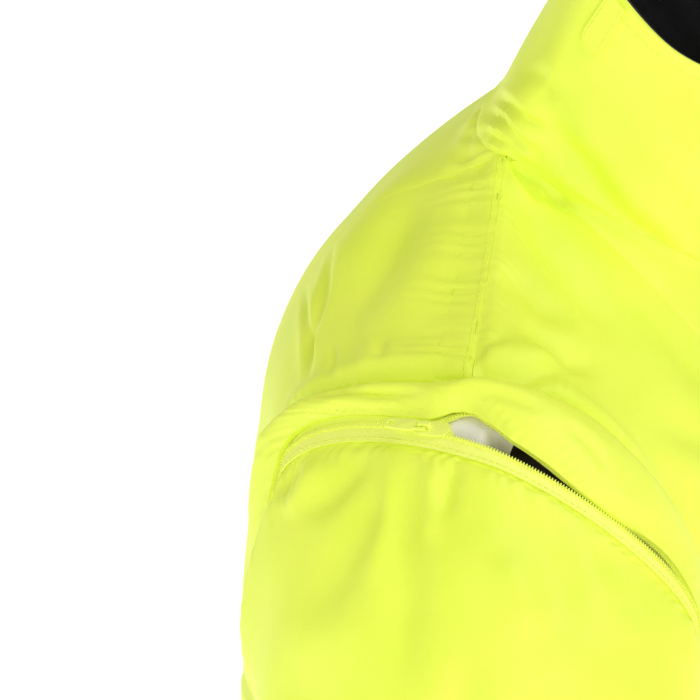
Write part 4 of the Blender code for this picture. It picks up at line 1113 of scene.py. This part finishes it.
def zip_frame(side, angles, sleeve_inward, opened):
    """Lines and ways round the armhole, a point to an angle.

    seam is the armhole seam, line the sleeve's zip line, edge the body tape's, rim the band's edge and
    hidden the body tape's other edge. up is the way to the body, under the way under the band, and shared
    the way into both tapes. full is the band's share of its full roll. columns starts at the zip's end.
    """
    seam = mirrored(ring_points(ARMHOLE, angles), side)
    line = mirrored(ring_points(ZIP_RING, angles), side)
    up = seam - line
    length = np.linalg.norm(up, axis=-1, keepdims=True)
    up = up / length
    around = np.roll(line, -1, axis=0) - np.roll(line, 1, axis=0)
    under = unit(np.cross(around, up))
    centre = mirrored(np.array((ZIP_RING["out_back"], ZIP_RING["y"], ZIP_RING["z"])), side)
    under *= math.copysign(1.0, np.sum(under * (centre - line)))
    gap, rim_width = openings_at(angles, opened)
    edge = line + up * gap
    return {
        "seam": seam,
        "line": line,
        "edge": edge,
        "rim": edge + up * rim_width - under * (CLOTH + SEAM_GAP),
        "hidden": edge + up * (rim_width + TAPE_HIDDEN) + under * SEAM_GAP,
        "up": up,
        "under": under,
        "shared": unit(under + sleeve_inward),
        "full": np.minimum(length / BAND_FULL, 1.0),
        "columns": np.roll(np.arange(len(angles)), -int(np.searchsorted(angles, ZIP_END))),
    }


def spread_rows(rows, count):
    """A grid of count rows through a few rows of points."""
    rows = np.array(rows)
    knots = np.arange(len(rows), dtype=float)
    return smooth(knots, rows.reshape(len(rows), -1), np.linspace(0, len(rows) - 1, count)).reshape(
        (count,) + rows.shape[1:])


def build_sleeve(side, word, opened):
    """A sleeve and its reflective bands, its zip, and the padded band round its armhole."""
    angles = ring_angles(side)
    grid, inward = sleeve_grid(side, angles)
    sides = {"top": "still", "bottom": "free"}
    height, normals = worn("sleeve", grid, inward, sides, side, True)
    down = length_down(grid)
    below = np.maximum(down - down[TAPE_ROW:TAPE_ROW + 1], 0.0)
    height += pucker(below, length_along(grid), *TAPE_PUCKER, 5.0 * side) * ease(below / SEAM_FLAT)
    height *= (down > 0.0014)
    outer = grid + normals * height[..., None]
    node = f"sleeve_{word}"
    wall(f"jacket_{node}", outer, outer + inward * CLOTH, SHELL, (node,), True, True)
    sew("cuff_stitches", outer[-6], normals[-6])
    lay_hoops(f"sleeve_hoop_{word}", SLEEVE_HOOPS, SLEEVE_LEVELS, outer, normals, True)
    ring = zip_frame(side, angles, inward[0], opened)
    build_sleeve_tape(word, ring, grid[TAPE_ROW], inward[TAPE_ROW])
    build_band(side, word, ring)
    build_body_tape(word, ring)
    if opened:
        build_armhole_lining(ring, angles, grid, inward)


def build_sleeve_tape(word, ring, low, low_in):
    columns = ring["columns"]
    top = spread_rows([ring["line"], low - low_in * (SEAM_GAP + TAPE)], 5)[:, columns]
    base = spread_rows([ring["line"] + ring["shared"] * TAPE, low - low_in * SEAM_GAP], 5)[:, columns]
    node = f"sleeve_zip_tape_{word}"
    wall(f"jacket_{node}", top, base, TAPE_CLOTH, (node,))
    sew("zip_tape_stitches", top[0] * 0.22 + top[-1] * 0.78, unit(top - base)[-1])


def build_band(side, word, ring):
    """The padded band, from its tuck under the panels' fold to its edge over the zip."""
    seam, rim, under, full = ring["seam"], ring["rim"], ring["under"], ring["full"]
    heights = np.linspace(0.0, 1.0, BAND_ROWS)
    puff = under * BAND_PUFF * full ** 2
    band = np.array([seam * (1 - h) + rim * h - puff * math.sin(math.pi * h) ** 1.2 for h in heights])
    heart = np.zeros(band.shape) + ring["line"].mean(axis=0)
    inward = -grid_normals(band, heart - band, True)
    inward[0] = armhole_inward(seam)
    beside = unit(np.cross(np.roll(seam, -1, axis=0) - np.roll(seam, 1, axis=0), inward[0]))
    beside *= np.sign(np.sum(beside * (rim - seam), axis=-1, keepdims=True))
    band[0] += beside * SEAM_GAP
    band += ring["up"] * TUCK * np.exp(-((heights / 0.13) ** 2))[:, None, None] * full
    sides = {"top": "tuck", "bottom": "seam"}
    height, normals = worn("band", band, inward, sides, side, True)
    outer = band + normals * height[..., None]
    node = f"armhole_band_{word}"
    wall(f"jacket_{node}", outer, outer + inward * CLOTH, BAND, (node,), True, True)


def build_body_tape(word, ring):
    """The body's half of the sleeve zip, and the teeth of both halves."""
    columns, edge, hidden, shared = ring["columns"], ring["edge"], ring["hidden"], ring["shared"]
    top = spread_rows([edge, hidden], 4)[:, columns]
    base = spread_rows([edge + shared * TAPE, hidden + ring["under"] * TAPE], 4)[:, columns]
    node = f"body_zip_tape_{word}"
    wall(f"jacket_{node}", top, base, TAPE_CLOTH, (node,))
    lines = [(ring["line"][columns], -shared[columns], ring["up"][columns], 0),
             (edge[columns], -shared[columns], -ring["up"][columns], 1)]
    coil(f"jacket_sleeve_zip_teeth_{word}", lines, TEETH)


def build_armhole_lining(ring, angles, grid, inward):
    """The pale lining behind the open zip: from the body tape, past the gap, down inside the sleeve."""
    inside = np.flatnonzero((angles > LINING_SPAN[0]) & (angles < LINING_SPAN[1]))
    depth = 0.003 + LINING_FALL * ease((angles - 12.0) / 14.0)[:, None]
    rows = [ring["hidden"] + ring["under"] * (TAPE + SEAM_GAP * 1.5),
            0.5 * (ring["edge"] + ring["line"]) + ring["shared"] * depth]
    next_row = level_row(SLEEVE_LEVELS, NEXT_LEVEL)
    rows += [grid[row] + inward[row] * (CLOTH + LINING_CLEAR) for row in (TAPE_ROW, next_row)]
    lining = spread_rows(rows, 19)[:, inside]
    wall("jacket_armhole_lining", lining, lining + ring["under"][None, inside] * TAPE, PALE,
         ("armhole_lining_right",))


# ---- Sliders and pull tabs ----
def hardware(node, body):
    """A small hard piece with its edges eased."""
    shape = bmesh.new()
    shape.from_mesh(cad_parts[node].data)
    bmesh.ops.remove_doubles(shape, verts=shape.verts, dist=1e-6)
    bmesh.ops.dissolve_limit(shape, angle_limit=math.radians(1.0), verts=shape.verts, edges=shape.edges)
    mesh = bpy.data.meshes.new(f"jacket_{node}")
    shape.to_mesh(mesh)
    shape.free()
    mesh.shade_smooth()
    mesh.materials.append(ENAMEL)
    made = placed(f"jacket_{node}", mesh)
    bevel = made.modifiers.new("eased", "BEVEL")
    bevel.width = 0.0003
    bevel.segments = 2
    bevel.limit_method = "ANGLE"
    bevel.angle_limit = math.radians(40.0)
    bevel.harden_normals = True
    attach(made, body)
    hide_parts(node)


# ---- Surroundings ----
FLOOR_Z = -1.45
FLOOR_SIZE = 60.0
FLOOR_GLOW = 0.9
SKY_STRENGTH = 0.34
SENSOR_MM = 36.0
WHITE = (1.0, 1.0, 1.0, 1.0)
# Name, size in metres, power in watts, place.
LIGHTS = (
    ("key", 3.0, 70.0, (-0.4, -2.4, 3.2)),
    ("fill", 2.4, 40.0, (-3.8, -1.6, 0.6)),
    ("rear", 3.0, 22.0, (-1.0, 3.2, 2.0)),
)
LIGHT_AIM = (-0.05, 0.0, -0.25)


def area_light(name, size, power_w, place):
    data = bpy.data.lights.new(name, "AREA")
    data.size = size
    data.energy = power_w
    back = unit(np.array(place) - np.array(LIGHT_AIM))
    side = unit(np.cross((0.0, 0.0, 1.0), back))
    up = np.cross(back, side)
    placed(name, data).matrix_world = facing_matrix(side, up, back, place)


def facing_matrix(right, up, back, place):
    return Matrix([[right[i], up[i], back[i], place[i]] for i in range(3)] + [[0.0, 0.0, 0.0, 1.0]])


def build_surroundings():
    bpy.ops.mesh.primitive_plane_add(size=FLOOR_SIZE, location=(0.0, 0.0, FLOOR_Z))
    floor = bpy.context.object
    floor.name = "studio_floor"
    finish, tree, shader = new_material("studio_floor", (0.90, 0.90, 0.90), 0.9)
    place = tree.nodes.new("ShaderNodeTexCoord").outputs["Object"]
    vary(tree, shader, noise(tree, 0.4, 1.0, place), (0.89, 0.89, 0.89), (0.91, 0.91, 0.91))
    shader.inputs["Emission Color"].default_value = WHITE
    shader.inputs["Emission Strength"].default_value = FLOOR_GLOW
    floor.data.materials.append(finish)
    world = bpy.data.worlds.new("studio")
    world.use_nodes = True
    sky = world.node_tree.nodes["Background"]
    sky.inputs["Color"].default_value = WHITE
    sky.inputs["Strength"].default_value = SKY_STRENGTH
    bpy.context.scene.world = world
    bpy.context.scene.view_settings.view_transform = "Standard"
    for light in LIGHTS:
        area_light(*light)
    data = bpy.data.cameras.new("photo_view")
    data.sensor_width = SENSOR_MM
    data.lens = SENSOR_MM * FOCAL / PHOTO_SIZE
    data.clip_end = 100.0
    camera = placed("photo_view", data)
    camera.matrix_world = facing_matrix(RIGHT_WAY, UP_WAY, BACK_WAY, CAMERA_AT)
    bpy.context.scene.camera = camera


# ---- Everything ----
build_back()
build_front(RIGHT, "right")
build_front(LEFT, "left")
build_collar()
build_collar_tab()
build_front_zip()
build_sleeve(RIGHT, "right", True)
build_sleeve(LEFT, "left", False)
make_stitches(THREAD)
for word in ("right", "left", "front"):
    hardware(f"slider_{word}", "jacket")
    hardware(f"pull_tab_{word}", f"tab_{word}")
build_surroundings()
